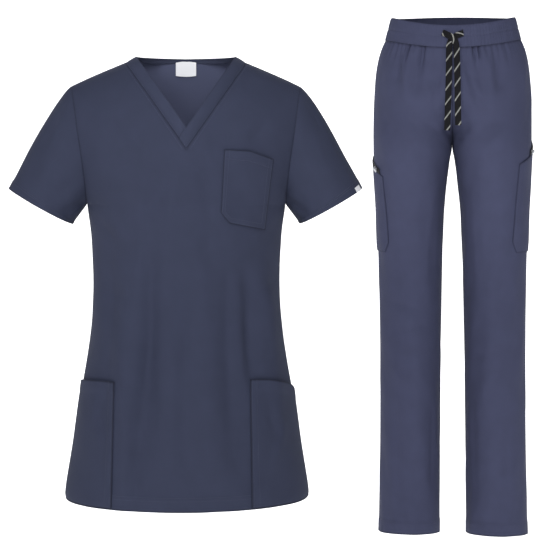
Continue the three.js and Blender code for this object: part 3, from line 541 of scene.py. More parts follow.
def cord_mesh(name, route, phase):
    steps = CORD_STEPS
    line, long = smooth_route(route, steps)
    middle = stand(line / MM)
    tangent = unit(np.gradient(middle, axis=0))
    forward = -TURN_ROWS[:, 1]
    out = unit(forward - tangent * (tangent @ forward)[:, None])
    across = np.cross(out, tangent)

    def pattern(u, v):
        angle = 2 * math.pi * u
        flat = np.sign(np.cos(angle)) * np.abs(np.cos(angle)) ** CORD_SQUARE["wide"] * CORD_WIDE / 2
        deep = np.sign(np.sin(angle)) * np.abs(np.sin(angle)) ** CORD_SQUARE["thick"] * CORD_THICK / 2
        i = np.clip(np.round(v * steps).astype(int), 0, steps)
        return middle[i] + across[i] * flat[:, None] + out[i] * deep[:, None]

    shape = bmesh.new()
    lay_grid(shape, pattern, CORD_ROUND, steps)
    bmesh.ops.remove_doubles(shape, verts=shape.verts, dist=0.001 * MM)
    cut = shape.loops.layers.uv["cut"]
    for face in shape.faces:
        for loop in face.loops:
            place = np.array(loop.vert.co) / MM
            i = int(np.argmin(((middle - place) ** 2).sum(1)))
            side = float((place - middle[i]) @ across[i])
            loop[cut].uv = (side * MM, phase - long * i / steps)
    rims = [edge for edge in shape.edges if edge.is_boundary]
    bmesh.ops.holes_fill(shape, edges=rims, sides=0)
    bmesh.ops.recalc_face_normals(shape, faces=shape.faces)
    made = object_from(shape, name, drawcord)
    applied(made)
    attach(made, BODY)
    world_line = stand(line / MM) * MM
    print(name, "length", round(long, 4), "m")
    return made, world_line, long


# %% Make both cords
for side_name, phase in (("right", 0.0), ("left", 0.006)):
    cord_piece, line, long = cord_mesh("drawcord_braid_" + side_name, CORD_ROUTES[side_name], phase)
    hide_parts("drawcord_" + side_name)
    tuple(line[0])

# %% [markdown]
# ## Pattern of the top
# The sections, necklines and armhole repeat those of the solids, so each panel of cloth hangs exactly
# where its solid is. The creases are finer: drag lines from the underarm, soft bends at the waist and
# round the pockets.

# %% Sections, armhole and necklines
BODY_SECTIONS = table(
    "z half_width front back",
    (-684, 188.5, 131, 128), (-659, 185.8, 130, 126), (-596, 176.0, 126, 121), (-533, 167.0, 121, 115),
    (-470, 156.0, 115, 108), (-407, 147.2, 110, 102), (-345, 144.4, 108, 100), (-276, 147.0, 112, 106),
    (-226, 153.0, 116, 112), (-175, 156.0, 118, 112), (-129, 160.0, 120, 109), (-60, 170.0, 118, 94),
    (-12, 176.0, 112, 68),
)
ARMHOLE_EDGE = table(
    "z x",
    (-226, 153.0), (-200, 153.4), (-173, 156.0), (-143, 160.0), (-113, 164.4), (-83, 168.4),
    (-45.5, 175.0),
)
UNDERARM, SHOULDER_TIP, ARMHOLE_DEPTH = -226.0, -45.5, 62.0
NECKLINES = {
    "front_seam": {"low": -141, "depth": 120.5, "high": -10.5, "width": 93, "bulge": 1.6},
    "front_edge": {"low": -108.8, "depth": 118.5, "high": 0, "width": 76, "bulge": 1.6},
    "back_seam": {"low": -8.2, "depth": 68, "high": -6, "width": 84, "bulge": 2.2},
    "back_edge": {"low": -1.2, "depth": 65, "high": 0, "width": 76.5, "bulge": 2.2},
}
ROW_HEIGHTS = np.array([-684, -655, -620, -580, -540, -500, -460, -420, -380, -340, -300, -262, -226], float)
ROWS_BELOW = len(ROW_HEIGHTS) - 1
ROWS_ABOVE = 12
TURN_ROW = {-1: 5, 1: 7}
ARMHOLE_PULL, ARMHOLE_PULL_UNTIL = 1.6, 0.35
FRONT, BACK, RIGHT, LEFT = -1, 1, -1, 1
half_width_at = reader(BODY_SECTIONS, "half_width")
depth_at = {FRONT: reader(BODY_SECTIONS, "front"), BACK: reader(BODY_SECTIONS, "back")}
armhole_x_at = reader(ARMHOLE_EDGE, "x")
print("hem girth half width", float(half_width_at(-684.0)))

# %% Folds of the solids, then the finer creases
TOP_FOLDS = table(
    "facing x z x2 z2 width height",
    (-1, -52, -240, -60, -640, 13, -7), (-1, -84, -300, -88, -660, 17, 5),
    (-1, -24, -380, -22, -660, 20, 4), (-1, 90, -300, 100, -500, 12, -5),
    (-1, 122, -330, 142, -620, 13, 4), (-1, 40, -440, 46, -670, 22, 4),
    (-1, -14, -150, -60, -250, 16, -4), (-1, 16, -150, 40, -230, 16, -3),
    (1, -66, -260, -78, -640, 17, -6), (1, 4, -330, 8, -660, 22, 5), (1, 70, -240, 84, -620, 16, -6),
    (1, -118, -330, -136, -620, 14, 4), (1, 118, -350, 134, -640, 14, 4),
)
TOP_CREASES = table(
    "facing x z x2 z2 width height bow",
    (-1, -146, -208, -78, -262, 8, -1.0, 5), (-1, -150, -236, -92, -306, 7, -0.8, -5),
    (-1, 146, -212, 84, -270, 8, -1.0, -5), (-1, 150, -244, 104, -318, 7, -0.8, 6),
    (-1, -54, -390, -81, -700, 9, -3.2, 3), (-1, 93, -350, 97, -520, 7, -2.4, 2),
    (-1, -98, -430, -92, -670, 9, 2.2, -3), (-1, -70, -250, -66, -420, 9, 1.8, 3),
    (-1, -96, -360, -102, -700, 15, 3.4, 4), (-1, -58, -400, -84, -720, 13, -3.2, 4),
    (-1, -20, -300, -30, -560, 18, 2.6, -4), (-1, 34, -330, 26, -700, 17, 2.8, 5),
    (-1, 62, -300, 72, -560, 13, -3.0, 4), (-1, 112, -300, 124, -470, 12, 2.8, -3),
    (-1, -116, -250, -112, -430, 12, -2.6, 3), (-1, -44, -150, -64, -300, 13, -2.6, 4),
    (-1, -20, -152, -34, -270, 11, 2.0, -3), (-1, 24, -156, 34, -300, 12, -2.2, -4),
    (-1, 122, -526, 140, -590, 7, -2.4, 3), (-1, -124, -512, -136, -570, 6, -2.4, 3),
    (-1, -142, -520, -132, -600, 6, 2.0, -2), (-1, 146, -560, 128, -640, 7, 2.0, 3),
    (-1, -138, -352, -70, -366, 7, -1.6, 3), (-1, 140, -340, 88, -360, 7, -1.5, -3),
    (-1, -30, -200, -42, -330, 9, -1.8, 4), (-1, 14, -260, 20, -420, 11, 1.6, -5),
    (-1, 62, -330, 70, -640, 10, -2.0, 5), (-1, -116, -320, -132, -640, 10, -2.2, -4),
    (-1, -8, -420, 2, -670, 10, -1.8, 4), (-1, -120, -88, -70, -150, 9, -1.6, 5),
    (-1, 124, -92, 88, -134, 9, -1.4, -4), (-1, 110, -420, 122, -500, 8, 1.8, 3),
    (1, -146, -206, -80, -250, 8, -2.6, 5), (1, 148, -210, 86, -256, 8, -2.4, -5),
    (1, -40, -90, -20, -230, 10, -1.8, 4), (1, 36, -80, 26, -250, 10, -1.8, -5),
    (1, -136, -340, -60, -358, 8, -2.2, 5), (1, 138, -346, 58, -362, 8, -2.0, -4),
    (1, -30, -350, -38, -660, 10, -2.2, 4), (1, 40, -380, 46, -660, 11, -2.0, -4),
    (1, -96, -420, -106, -660, 9, 1.8, 3), (1, 100, -400, 112, -650, 9, 1.8, -3),
)
print("folds", len(rows_of(TOP_FOLDS)), "creases", len(rows_of(TOP_CREASES)))


# %% Points of the body cloth
def neck_point(line, share, facing, side):
    depth = line["depth"] * (1 - share ** line["bulge"]) ** (1 / line["bulge"])
    return points(side * line["width"] * share, facing * depth, mix(line["low"], line["high"], share))


def neck_share(above, turn_row):
    return np.sin(np.clip((above - turn_row) / (ROWS_ABOVE - turn_row), 0, 1) * math.pi / 2)


def armhole_point(share, facing, side):
    angle = math.pi * share
    z = (UNDERARM + SHOULDER_TIP) / 2 - (SHOULDER_TIP - UNDERARM) / 2 * np.cos(angle)
    return points(side * armhole_x_at(z), facing * ARMHOLE_DEPTH * np.sin(angle), z)


def row_ends(row, facing, side):
    """Inner and outer end of a body row and how far it bends; rows count up from the hem."""
    line = NECKLINES["front_seam" if facing == FRONT else "back_seam"]
    above = row - ROWS_BELOW
    low_z = np.interp(row, np.arange(ROWS_BELOW + 1), ROW_HEIGHTS)
    rise = np.clip(above / TURN_ROW[facing], 0, 1)
    mid_z = mix(UNDERARM, line["low"], rise)
    mid_y = facing * mix(depth_at[facing](mid_z), line["depth"], rise)
    below = (above <= 0)[:, None]
    inner = np.where(below, points(0, facing * depth_at[facing](low_z), low_z), points(0, mid_y, mid_z))
    neck = neck_point(line, neck_share(above, TURN_ROW[facing]), facing, side)
    inner = np.where((above > TURN_ROW[facing])[:, None], neck, inner)
    share = np.clip(above / ROWS_ABOVE, 0, 1)
    outer = np.where(below, points(side * half_width_at(low_z), 0, low_z), armhole_point(share, facing, side))
    return inner, outer, mix(math.pi / 2, 0.6, ease(0, 0.85, share))


def plain_body(across, row, facing, side):
    inner, outer, bend = row_ends(row, facing, side)
    above = row - ROWS_BELOW
    pull = mix(ARMHOLE_PULL, 1, ease(0, ARMHOLE_PULL_UNTIL, above / ROWS_ABOVE))
    drop = mix(across * across * (2 - across), across, ease(TURN_ROW[facing], ROWS_ABOVE, above))
    bent = (1 - np.cos(across * bend)) / (1 - np.cos(bend))
    x = mix(inner[:, 0], outer[:, 0], np.sin(across * bend) / np.sin(bend))
    y = inner[:, 1] * (1 - bent) + outer[:, 1] * bent**pull
    return points(x, y, mix(inner[:, 2], outer[:, 2], drop))


def body_out(across, row, facing, side, step=0.02):
    top_row = ROWS_BELOW + ROWS_ABOVE
    up = plain_body(across, np.minimum(top_row, row + step), facing, side)
    along = up - plain_body(across, np.maximum(0, row - step), facing, side)
    wide = plain_body(np.minimum(1, across + step), row, facing, side)
    out = unit(np.cross(wide - plain_body(np.maximum(0, across - step), row, facing, side), along))
    out = out * np.where(out[:, 1] * facing < 0, -1, 1)[:, None]
    out[(across == 0) & (np.abs(plain_body(across, row, facing, side)[:, 0]) < 1e-6), 0] = 0
    return unit(out)


def body_point(across, row, facing, side, lift=0.0):
    """The cloth of the body with its folds and creases; lift moves off it."""
    place = plain_body(across, row, facing, side)
    out = body_out(across, row, facing, side)
    x, z = place[:, 0], place[:, 2]
    raised = 0
    for line in rows_of(TOP_FOLDS):
        if line["facing"] == facing:
            raised = raised + fold(line, x, z, line["x"], line["x2"])
    for line in rows_of(TOP_CREASES):
        if line["facing"] == facing:
            raised = raised + crease(line, x, z)
    above = row - ROWS_BELOW
    by_neck = mix(1, ease(0, 0.14, across), ease(TURN_ROW[facing] - 1, TURN_ROW[facing], above))
    edges = ease(0, 0.1, 1 - across) * ease(0, 2.5, ROWS_ABOVE - above) * by_neck
    raised = (raised + unevenness(x, z, facing)) * edges
    return place + out * (raised + lift)[:, None]


print("chest point", body_point(np.array([0.3]), np.array([10.0]), FRONT, RIGHT)[0].round(1))


# %% Front and back panels
SEAM_ROLL = 0.9
SEAM_WIDE = 3.0
ARMHOLE_ROLL = 0.2
BODY_WIDE = 250.0
HEM_HIGH = 22.0
CLOTH_THICK = 1.4


def rolled(across_mm):
    """Cloth bends in where it is sewn: how far, by the distance from the seam."""
    return -SEAM_ROLL * np.exp(-((across_mm / SEAM_WIDE) ** 2))


def body_pattern(facing, side):
    top_row = ROWS_BELOW + ROWS_ABOVE

    def pattern(u, v):
        across, row = u, v * top_row
        z = plain_body(across, row, facing, np.full(len(u), side))[:, 2]
        hem = 0.55 * (1 - ease(HEM_HIGH - 2, HEM_HIGH + 1, z - ROW_HEIGHTS[0]))
        lift = hem + rolled((1 - across) * BODY_WIDE) * ARMHOLE_ROLL
        return body_point(across, row, facing, np.full(len(u), side), lift)

    return pattern


def from_axis(place):
    return (place[0], place[1], 0)


for facing, facing_name in ((FRONT, "front"), (BACK, "back")):
    halves = [body_pattern(facing, side) for side in (RIGHT, LEFT)]
    panel = shell(
        facing_name + "_panel_cloth", halves, 60, 170, CLOTH_THICK, slate, from_axis, "top_" + facing_name
    )
    declare(panel, 0.52, 0.70, ["top_sleeve_right", "top_sleeve_left"])

# %% [markdown]
# ## Laying one piece of cloth on another
# A pocket lies on its panel, so its points are found over the panel: the pattern is searched for the
# place with the wanted width and height, and the pocket is lifted off it by its own thickness. A strip
# that has a pattern of its own is lifted along its own surface instead.


# %% Find the body under a place, and lift a strip along its surface
def body_over(x, z, facing, lift):
    side = np.where(x < 0, -1, 1)
    across, row, step = np.full(len(x), 0.5), np.full(len(x), 8.0), 1e-3
    for _ in range(16):
        here = body_point(across, row, facing, side)
        by_across = (body_point(across + step, row, facing, side) - here) / step
        by_row = (body_point(across, row + step, facing, side) - here) / step
        scale = by_across[:, 0] * by_row[:, 2] - by_across[:, 2] * by_row[:, 0]
        miss_x, miss_z = x - here[:, 0], z - here[:, 2]
        move = (miss_x * by_row[:, 2] - miss_z * by_row[:, 0]) / scale
        climb = (miss_z * by_across[:, 0] - miss_x * by_across[:, 2]) / scale
        across = np.clip(across + np.clip(move, -0.2, 0.2), 0, 0.998)
        row = np.clip(row + np.clip(climb, -2, 2), 0, ROWS_BELOW + ROWS_ABOVE - 0.01)
    return body_point(across, row, facing, side, lift)


def lifted(at, lift, outward, closed=False, step=0.004):
    """A pattern moved off its own surface by lift(u, v), to the side that outward points to."""

    def pattern(u, v, extra=0.0):
        place = at(u, v)
        low_u, high_u = (u - step, u + step) if closed else (np.maximum(0, u - step), np.minimum(1, u + step))
        wide = at(high_u, v) - at(low_u, v)
        long = at(u, np.minimum(1, v + step)) - at(u, np.maximum(0, v - step))
        out = unit(np.cross(wide, long))
        out = out * np.sign((out * outward(place)).sum())
        return place + out * (lift(u, v) + extra)[:, None]

    return pattern


print("over the chest", body_over(np.array([60.0]), np.array([-200.0]), FRONT, np.zeros(1))[0].round(2))

# %% [markdown]
# ## Sleeves
# Each set-in sleeve is a tube from the armhole seam to the cuff. It is eased into the seam, so the cap is
# full, and soft folds run from the underarm towards the cuff. The cuff is turned up and stitched.

# %% Sleeve sizes and folds
CUFF = {"x": 224.0, "z": -229.5, "half_width": 56.0, "half_depth": 60.0, "tilt": math.radians(-29.6)}
CAP_PULL, UNDER_PULL, CUFF_PULL = 70.0, 18.0, 110.0
MIDDLE_PULL = 90.0
SHOULDER_SLOPE = (0.9, -0.42)
SLEEVE_LONG = 175.0
SLEEVE_FOLDS = table(
    "side turn along turn2 along2 width height",
    (-1, 0.06, 0.1, 0.14, 0.85, 0.022, -2.4), (-1, 0.17, 0.15, 0.22, 0.8, 0.025, -1.8),
    (-1, 0.3, 0.3, 0.29, 0.95, 0.03, 1.6), (-1, 0.94, 0.1, 0.87, 0.8, 0.022, -2.2),
    (-1, 0.76, 0.2, 0.74, 0.9, 0.03, -1.6), (-1, 0.4, 0.05, 0.37, 0.6, 0.02, -1.2),
    (1, 0.07, 0.1, 0.13, 0.9, 0.02, -2.2), (1, 0.19, 0.2, 0.23, 0.75, 0.026, -1.9),
    (1, 0.33, 0.25, 0.31, 0.9, 0.03, 1.5), (1, 0.92, 0.1, 0.88, 0.85, 0.024, -2.3),
    (1, 0.78, 0.15, 0.75, 0.8, 0.028, -1.6), (1, 0.42, 0.05, 0.38, 0.55, 0.02, -1.2),
)


def sleeve_plain(turn, along, side):
    turn = np.mod(turn, 1)
    facing = np.where(turn <= 0.5, FRONT, BACK)
    share = np.where(turn <= 0.5, turn * 2, 2 - turn * 2)
    start = armhole_point(share, facing, side)
    tilt, high = CUFF["tilt"], -np.cos(math.pi * share)
    upward = np.array([math.cos(tilt) * side, 0, -math.sin(tilt)])
    end = points(CUFF["x"] * side, facing * CUFF["half_depth"] * np.sin(math.pi * share), CUFF["z"])
    end = end + upward * (high * CUFF["half_width"])[:, None]
    axis = np.array([-math.sin(tilt) * side, 0, -math.cos(tilt)])
    shoulder = np.array([SHOULDER_SLOPE[0] * side, 0, SHOULDER_SLOPE[1]]) * CAP_PULL
    lift = (high + 1) / 2
    top = ease(0.2, 1, lift)[:, None]
    leave = mix(axis * mix(UNDER_PULL, MIDDLE_PULL, lift)[:, None], shoulder, top)
    arrive = axis * mix(UNDER_PULL * 1.6, CUFF_PULL, lift)[:, None]
    t = along[:, None]
    gone = t * t * (3 - 2 * t)
    return mix(start, end, gone) + leave * t * (1 - t) ** 2 + arrive * t * t * (t - 1)


def sleeve_middle(side):
    """A place inside the sleeve, so that out can be told from in."""
    return np.array([CUFF["x"] * side * 0.85, 0, -165.0])


def sleeve_pattern(side):
    def lift(u, v):
        cuff_hem = 0.5 * ease(1 - 20 / SLEEVE_LONG, 1 - 17 / SLEEVE_LONG, v)
        raised = cuff_hem + rolled(v * SLEEVE_LONG) * ARMHOLE_ROLL
        for line in rows_of(SLEEVE_FOLDS):
            if line["side"] == side:
                t = np.clip((v - line["along"]) / (line["along2"] - line["along"]), 0, 1)
                away = (np.mod(u - mix(line["turn"], line["turn2"], t) + 0.5, 1) - 0.5) / line["width"]
                starts = ease(line["along"] - 0.08, line["along"] + 0.3, v)
                ends = 1 - ease(line["along2"] - 0.3, line["along2"] + 0.08, v)
                raised = raised + line["height"] * np.exp(-away * away) * starts * ends
        off_seam = ease(0, 0.2, v) * ease(0, 0.08, u) * ease(0, 0.08, 1 - u)
        return raised + unevenness(u * 360, v * SLEEVE_LONG, side + 4) * off_seam * 0.8

    def at(u, v):
        return sleeve_plain(u, v, side)

    return lifted(at, lift, lambda place: place - sleeve_middle(side), closed=True)


sleeve_patterns = {"right": sleeve_pattern(RIGHT), "left": sleeve_pattern(LEFT)}
for side_name, side in (("right", RIGHT), ("left", LEFT)):
    centre = Vector(sleeve_middle(side) * MM)
    sleeve_piece = shell(
        "sleeve_cloth_" + side_name, [sleeve_patterns[side_name]], 112, 52, CLOTH_THICK, slate,
        lambda place, centre=centre: place - centre, "top_sleeve_" + side_name,
    )
    declare(sleeve_piece, 0.40, 0.25, ["top_front", "top_back"])

# %% [markdown]
# ## Neckband and back neck binding
# A doubled strip finishes the V. The wearer's left half laps over the right one at the point. Its fold at
# the inner edge is round and its seam is rolled in. At the back a narrow binding covers the neck seam.

# %% Neckband halves
BAND_LAP_ROWS = 0.56
BAND_CORNER = 0.07


def front_neck(line_name, rows_up, side):
    """On a front neckline, this many rows above its point."""
    share = neck_share(TURN_ROW[FRONT] + rows_up, TURN_ROW[FRONT])
    return neck_point(NECKLINES[line_name], share, FRONT, side)


def neckband_plain(side):
    span = ROWS_ABOVE - TURN_ROW[FRONT]

    def at(u, v):
        t = np.clip((v - BAND_CORNER) / (1 - BAND_CORNER), 0, 1)
        inner = front_neck("front_edge", t * span, side)
        outer = front_neck("front_seam", t * span, side)
        if side == LEFT:
            corner = BAND_LAP_ROWS * (1 - np.clip(v / BAND_CORNER, 0, 1))
            outer = np.where((v < BAND_CORNER)[:, None], front_neck("front_seam", corner, RIGHT), outer)
        else:
            outer = front_neck("front_seam", BAND_LAP_ROWS + t * (span - BAND_LAP_ROWS), side)
        return mix(inner, outer, u[:, None])

    return at


NECKBAND_WIDE = 20.0


def band_lift(top, lap):
    """The padded form of a neckband; lap is how far its lower end stands off."""

    def lift(u, v):
        edges = rolled((1 - u) * NECKBAND_WIDE) * 0.8 + rolled(u * NECKBAND_WIDE) * 0.7
        return top + lap * (1 - ease(0.04, 0.2, v)) + 0.5 * np.sin(math.pi * u) ** 0.6 + edges

    return lift


neckband_patterns = {
    "right": lifted(neckband_plain(RIGHT), band_lift(0.1, -0.5), lambda place: np.array([0, -1.0, 0])),
    "left": lifted(neckband_plain(LEFT), band_lift(0.3, 1.1), lambda place: np.array([0, -1.0, 0])),
}
for side_name in ("right", "left"):
    band_piece = shell(
        "neckband_cloth_" + side_name, [neckband_patterns[side_name]], 12, 84, CLOTH_THICK, slate_band,
        lambda place: (0, -1, 0), "top_neckband_" + side_name,
    )
    declare(band_piece, 0.028, 0.215, ["top_front"])


# %% Back neck binding
def binding_plain(u, v):
    span = ROWS_ABOVE - TURN_ROW[BACK]
    turn = np.abs(u - 0.5) * 2 * span
    share = neck_share(TURN_ROW[BACK] + turn, TURN_ROW[BACK])
    side = np.where(u < 0.5, RIGHT, LEFT)
    seam = neck_point(NECKLINES["back_seam"], share, BACK, side)
    return mix(seam, neck_point(NECKLINES["back_edge"], share, BACK, side), v[:, None])


binding_pattern = lifted(
    binding_plain, lambda u, v: 0.5 * np.sin(math.pi * v), lambda place: np.array([0, 1.0, 0.3])
)
binding_piece = shell(
    "back_neck_binding_cloth", [binding_pattern], 90, 5, CLOTH_THICK, slate_band,
    lambda place: (0, 1, 0.3), "top_back_neck_binding",
)
declare(binding_piece, 0.24, 0.013, ["top_back"])

# %% [markdown]
# ## Patch pockets
# The pockets are single cloth, turned in and sewn down round three sides. The sewn edges are pressed
# flat, the middle bags a little and the mouth stands off the panel.

# %% Outlines of the pockets
CHEST_TOP = [(56, -142), (94, -144), (130, -157)]
CHEST_BOTTOM = [(51, -236), (64, -252), (118, -264)]
HIP_POCKETS = {
    "right": {"side": RIGHT, "inner_top": 109, "inner_hem": 114, "top_inner": -492, "top_side": -499},
    "left": {"side": LEFT, "inner_top": 94, "inner_hem": 96, "top_inner": -489, "top_side": -518},
}
HEM_REACH = -683
SIDE_ANGLE = math.pi / 2 - 0.035


def along_corners(corners, share):
    corners = np.array(corners, float)
    gone = np.append(0, np.cumsum(np.linalg.norm(np.diff(corners, axis=0), axis=1)))
    at = share * gone[-1]
    return np.stack([np.interp(at, gone, corners[:, k]) for k in (0, 1)], axis=1)


def chest_outline(u, v):
    return mix(along_corners(CHEST_BOTTOM, u), along_corners(CHEST_TOP, u), v[:, None])


def hip_outline(pocket):
    def outline(u, v):
        z = mix(HEM_REACH, mix(pocket["top_inner"], pocket["top_side"], u * u), v)
        inner = mix(pocket["inner_hem"], pocket["inner_top"], v)
        angle = mix(np.arcsin(inner / half_width_at(z)), SIDE_ANGLE, u)
        return np.stack([pocket["side"] * half_width_at(z) * np.sin(angle), z], axis=1)

    return outline


def pocket_pattern(outline, high, hem, mouth, bag, seed):
    """A patch pocket; high is its height and hem the turned mouth, in mm."""

    def pattern(u, v, extra=0.0):
        spot = outline(u, v)
        sewn = ease(0, 0.055, u) * ease(0, 0.055, 1 - u) * ease(0, 9 / high, v)
        hem_line = -0.5 * np.exp(-((((1 - v) * high - hem) / 1.6) ** 2))
        top = mouth * np.sin(math.pi * u) * ease(1 - 1.6 * hem / high, 1, v)
        body = bag * sewn * (0.75 + 0.25 * np.sin(7 * u + 5 * v + seed))
        hem_step = 0.45 * (1 - ease(hem - 1.5, hem + 1.5, (1 - v) * high))
        lift = CLOTH_THICK + 0.25 + body + top + hem_line * sewn + hem_step + extra
        return body_over(spot[:, 0], spot[:, 1], FRONT, lift)

    return pattern


pocket_patterns = {
    "chest": pocket_pattern(chest_outline, 100, 13, 1.0, 1.0, 0.3),
    "hip_right": pocket_pattern(hip_outline(HIP_POCKETS["right"]), 190, 17, 2.6, 1.6, 1.1),
    "hip_left": pocket_pattern(hip_outline(HIP_POCKETS["left"]), 188, 17, 3.0, 1.6, 2.3),
}
POCKET_CUTS = {
    "chest": ("top_chest_pocket", 0.10, 0.125),
    "hip_right": ("top_hip_pocket_right", 0.13, 0.23),
    "hip_left": ("top_hip_pocket_left", 0.155, 0.23),
}
# The pockets' rims get strong painted shade, for the shadow lines along their edges.
for pocket_name, (solid_name, wide, long) in POCKET_CUTS.items():
    pocket_piece = shell(
        pocket_name + "_pocket_cloth", [pocket_patterns[pocket_name]], 46, 60, CLOTH_THICK, slate,
        from_axis, solid_name, rim=0.95,
    )
    declare(pocket_piece, wide, long, ["top_front"])

# %% [markdown]
# ## Labels
# A woven label hangs inside the back of the neck, and a small folded tag is caught in the left cuff. Both
# are bare white satin.

# %% Neck label and sleeve tag
LABEL_HALF_WIDE, LABEL_TOP, LABEL_LOW, LABEL_GAP = 16.0, -5.4, -27.0, 2.0
TAG_LONG, TAG_TURN, TAG_SHARE, TAG_GAP, TAG_EDGE_LONG = 13.0, 0.405, 0.044, 0.6, 190.0
LABEL_THICK = 0.8


def label_pattern(u, v, extra=0.0):
    x = mix(-LABEL_HALF_WIDE, LABEL_HALF_WIDE, u)
    sag = 1.4 * np.sin(math.pi * u) * (1 - v)
    z = mix(LABEL_LOW, LABEL_TOP, v) - sag
    curl = 0.9 * (1 - v) ** 2 + 0.35 * np.sin(9 * u) * (1 - v)
    place = body_over(x, z - 3, BACK, -(CLOTH_THICK + LABEL_GAP + curl + extra))
    return place + np.array([0, 0, 3.0])


def tag_pattern(u, v, extra=0.0):
    turn = TAG_TURN - (0.5 - u) * TAG_SHARE
    place = sleeve_plain(turn, mix(1.0, 1 - TAG_LONG / TAG_EDGE_LONG, v), LEFT)
    out = place - np.array([CUFF["x"] - 20, 0, CUFF["z"]])
    return place + unit(out) * (TAG_GAP + 1.0 + extra)


label_piece = shell(
    "neck_label_satin", [label_pattern], 20, 14, LABEL_THICK, label_white,
    lambda place: (0, -1, 0), "top_neck_label",
)
declare(label_piece, 0.033, 0.024, ["top_back_neck_binding"])
tag_piece = shell(
    "sleeve_tag_satin", [tag_pattern], 10, 10, LABEL_THICK, label_white,
    lambda place: (1, -1, 1), "top_sleeve_tag",
)
declare(tag_piece, 0.016, 0.014, ["top_sleeve_left"])

# %% [markdown]
# ## Pattern of the trousers
# Four long panels meet at the outseams, the inseams and the middle. The share counts round each panel
# from the outseam to the middle. Gathers fall from the elastic waistband, and soft creases start at the
# crotch and knees.

# %% Sections of the trousers
HIP_SECTIONS = table(
    "z half_width front back",
    (114, 117.5, 96, 97), (86, 125.0, 99, 101), (62, 131.5, 102, 105), (45, 138.5, 105, 109),
    (26, 144.0, 108, 113), (0, 148.0, 111, 117), (-32, 150.7, 113, 121), (-71, 152.7, 112, 122),
    (-110, 153.2, 109, 118), (-147, 153.0, 104, 112),
)
LEG_SECTIONS = table(
    "z outer inner front back",
    (-40, 151.0, 0.0, 110, 116), (-110, 153.2, 0.2, 107, 112), (-147, 153.0, 0.7, 103, 107),
    (-167, 152.2, 4.4, 100.5, 103), (-216, 149.8, 10.6, 94, 95), (-265, 147.2, 15.2, 88, 88.5),
    (-314, 146.0, 17.5, 83.5, 83.5), (-363, 144.0, 19.5, 80, 80), (-461, 142.3, 21.4, 76, 76.5),
    (-559, 141.8, 23.2, 74, 75), (-708, 142.6, 24.5, 73, 74), (-858, 145.5, 25.6, 73, 74),
    (-900, 146.8, 25.6, 73, 74),
)
CROTCH, BLEND_FROM, LEG_HEM = -147.0, -36.0, -900.0
BLEND_POWER = 1.35
LEG_DRIFT = 7.0
CUFF_RISE, CUFF_RISE_FROM = 7.0, -760.0
WAIST = {
    "top": 107.0, "seam": 63.0, "dip_top": 19.3, "dip_seam": 18.0, "back_rise": 7.0, "level_below": -60.0,
}
hip_wide = reader(HIP_SECTIONS, "half_width")
hip_deep = {FRONT: reader(HIP_SECTIONS, "front"), BACK: reader(HIP_SECTIONS, "back")}
leg_outer, leg_inner = reader(LEG_SECTIONS, "outer"), reader(LEG_SECTIONS, "inner")
leg_deep = {FRONT: reader(LEG_SECTIONS, "front"), BACK: reader(LEG_SECTIONS, "back")}
print("hip width", 2 * float(hip_wide(-110.0)), "mm")

# %% Folds of the solids, then the finer creases; the share times this girth is a width in mm
PANEL_GIRTH = 260.0
TROUSER_FOLDS = table(
    "leg facing a z a2 z2 width height",
    (-1, -1, 0.48, 60, 0.5, -20, 0.05, -5), (-1, -1, 0.7, 58, 0.69, -45, 0.06, -5),
    (-1, -1, 0.59, 58, 0.6, -70, 0.05, 3.5), (-1, -1, 0.9, 52, 0.82, -30, 0.05, -4),
    (1, -1, 0.88, 52, 0.8, -25, 0.05, -4), (1, -1, 0.78, 55, 0.74, -50, 0.05, -4.5),
    (1, -1, 0.6, 58, 0.6, -40, 0.06, -4.5), (1, -1, 0.69, 56, 0.68, -70, 0.05, 3.5),
    (-1, 1, 0.35, 62, 0.36, -30, 0.06, -4.5), (-1, 1, 0.62, 62, 0.6, -60, 0.06, -5),
    (-1, 1, 0.84, 62, 0.84, -30, 0.05, -4), (1, 1, 0.4, 62, 0.38, -45, 0.06, -5),
    (1, 1, 0.66, 62, 0.67, -35, 0.06, -4.5), (1, 1, 0.86, 62, 0.84, -55, 0.05, -4),
    (-1, -1, 0.52, -300, 0.6, -800, 0.12, 4), (1, -1, 0.5, -330, 0.58, -820, 0.12, 4),
    (-1, 1, 0.5, -260, 0.56, -760, 0.13, 4), (1, 1, 0.52, -280, 0.55, -780, 0.13, 4),
)
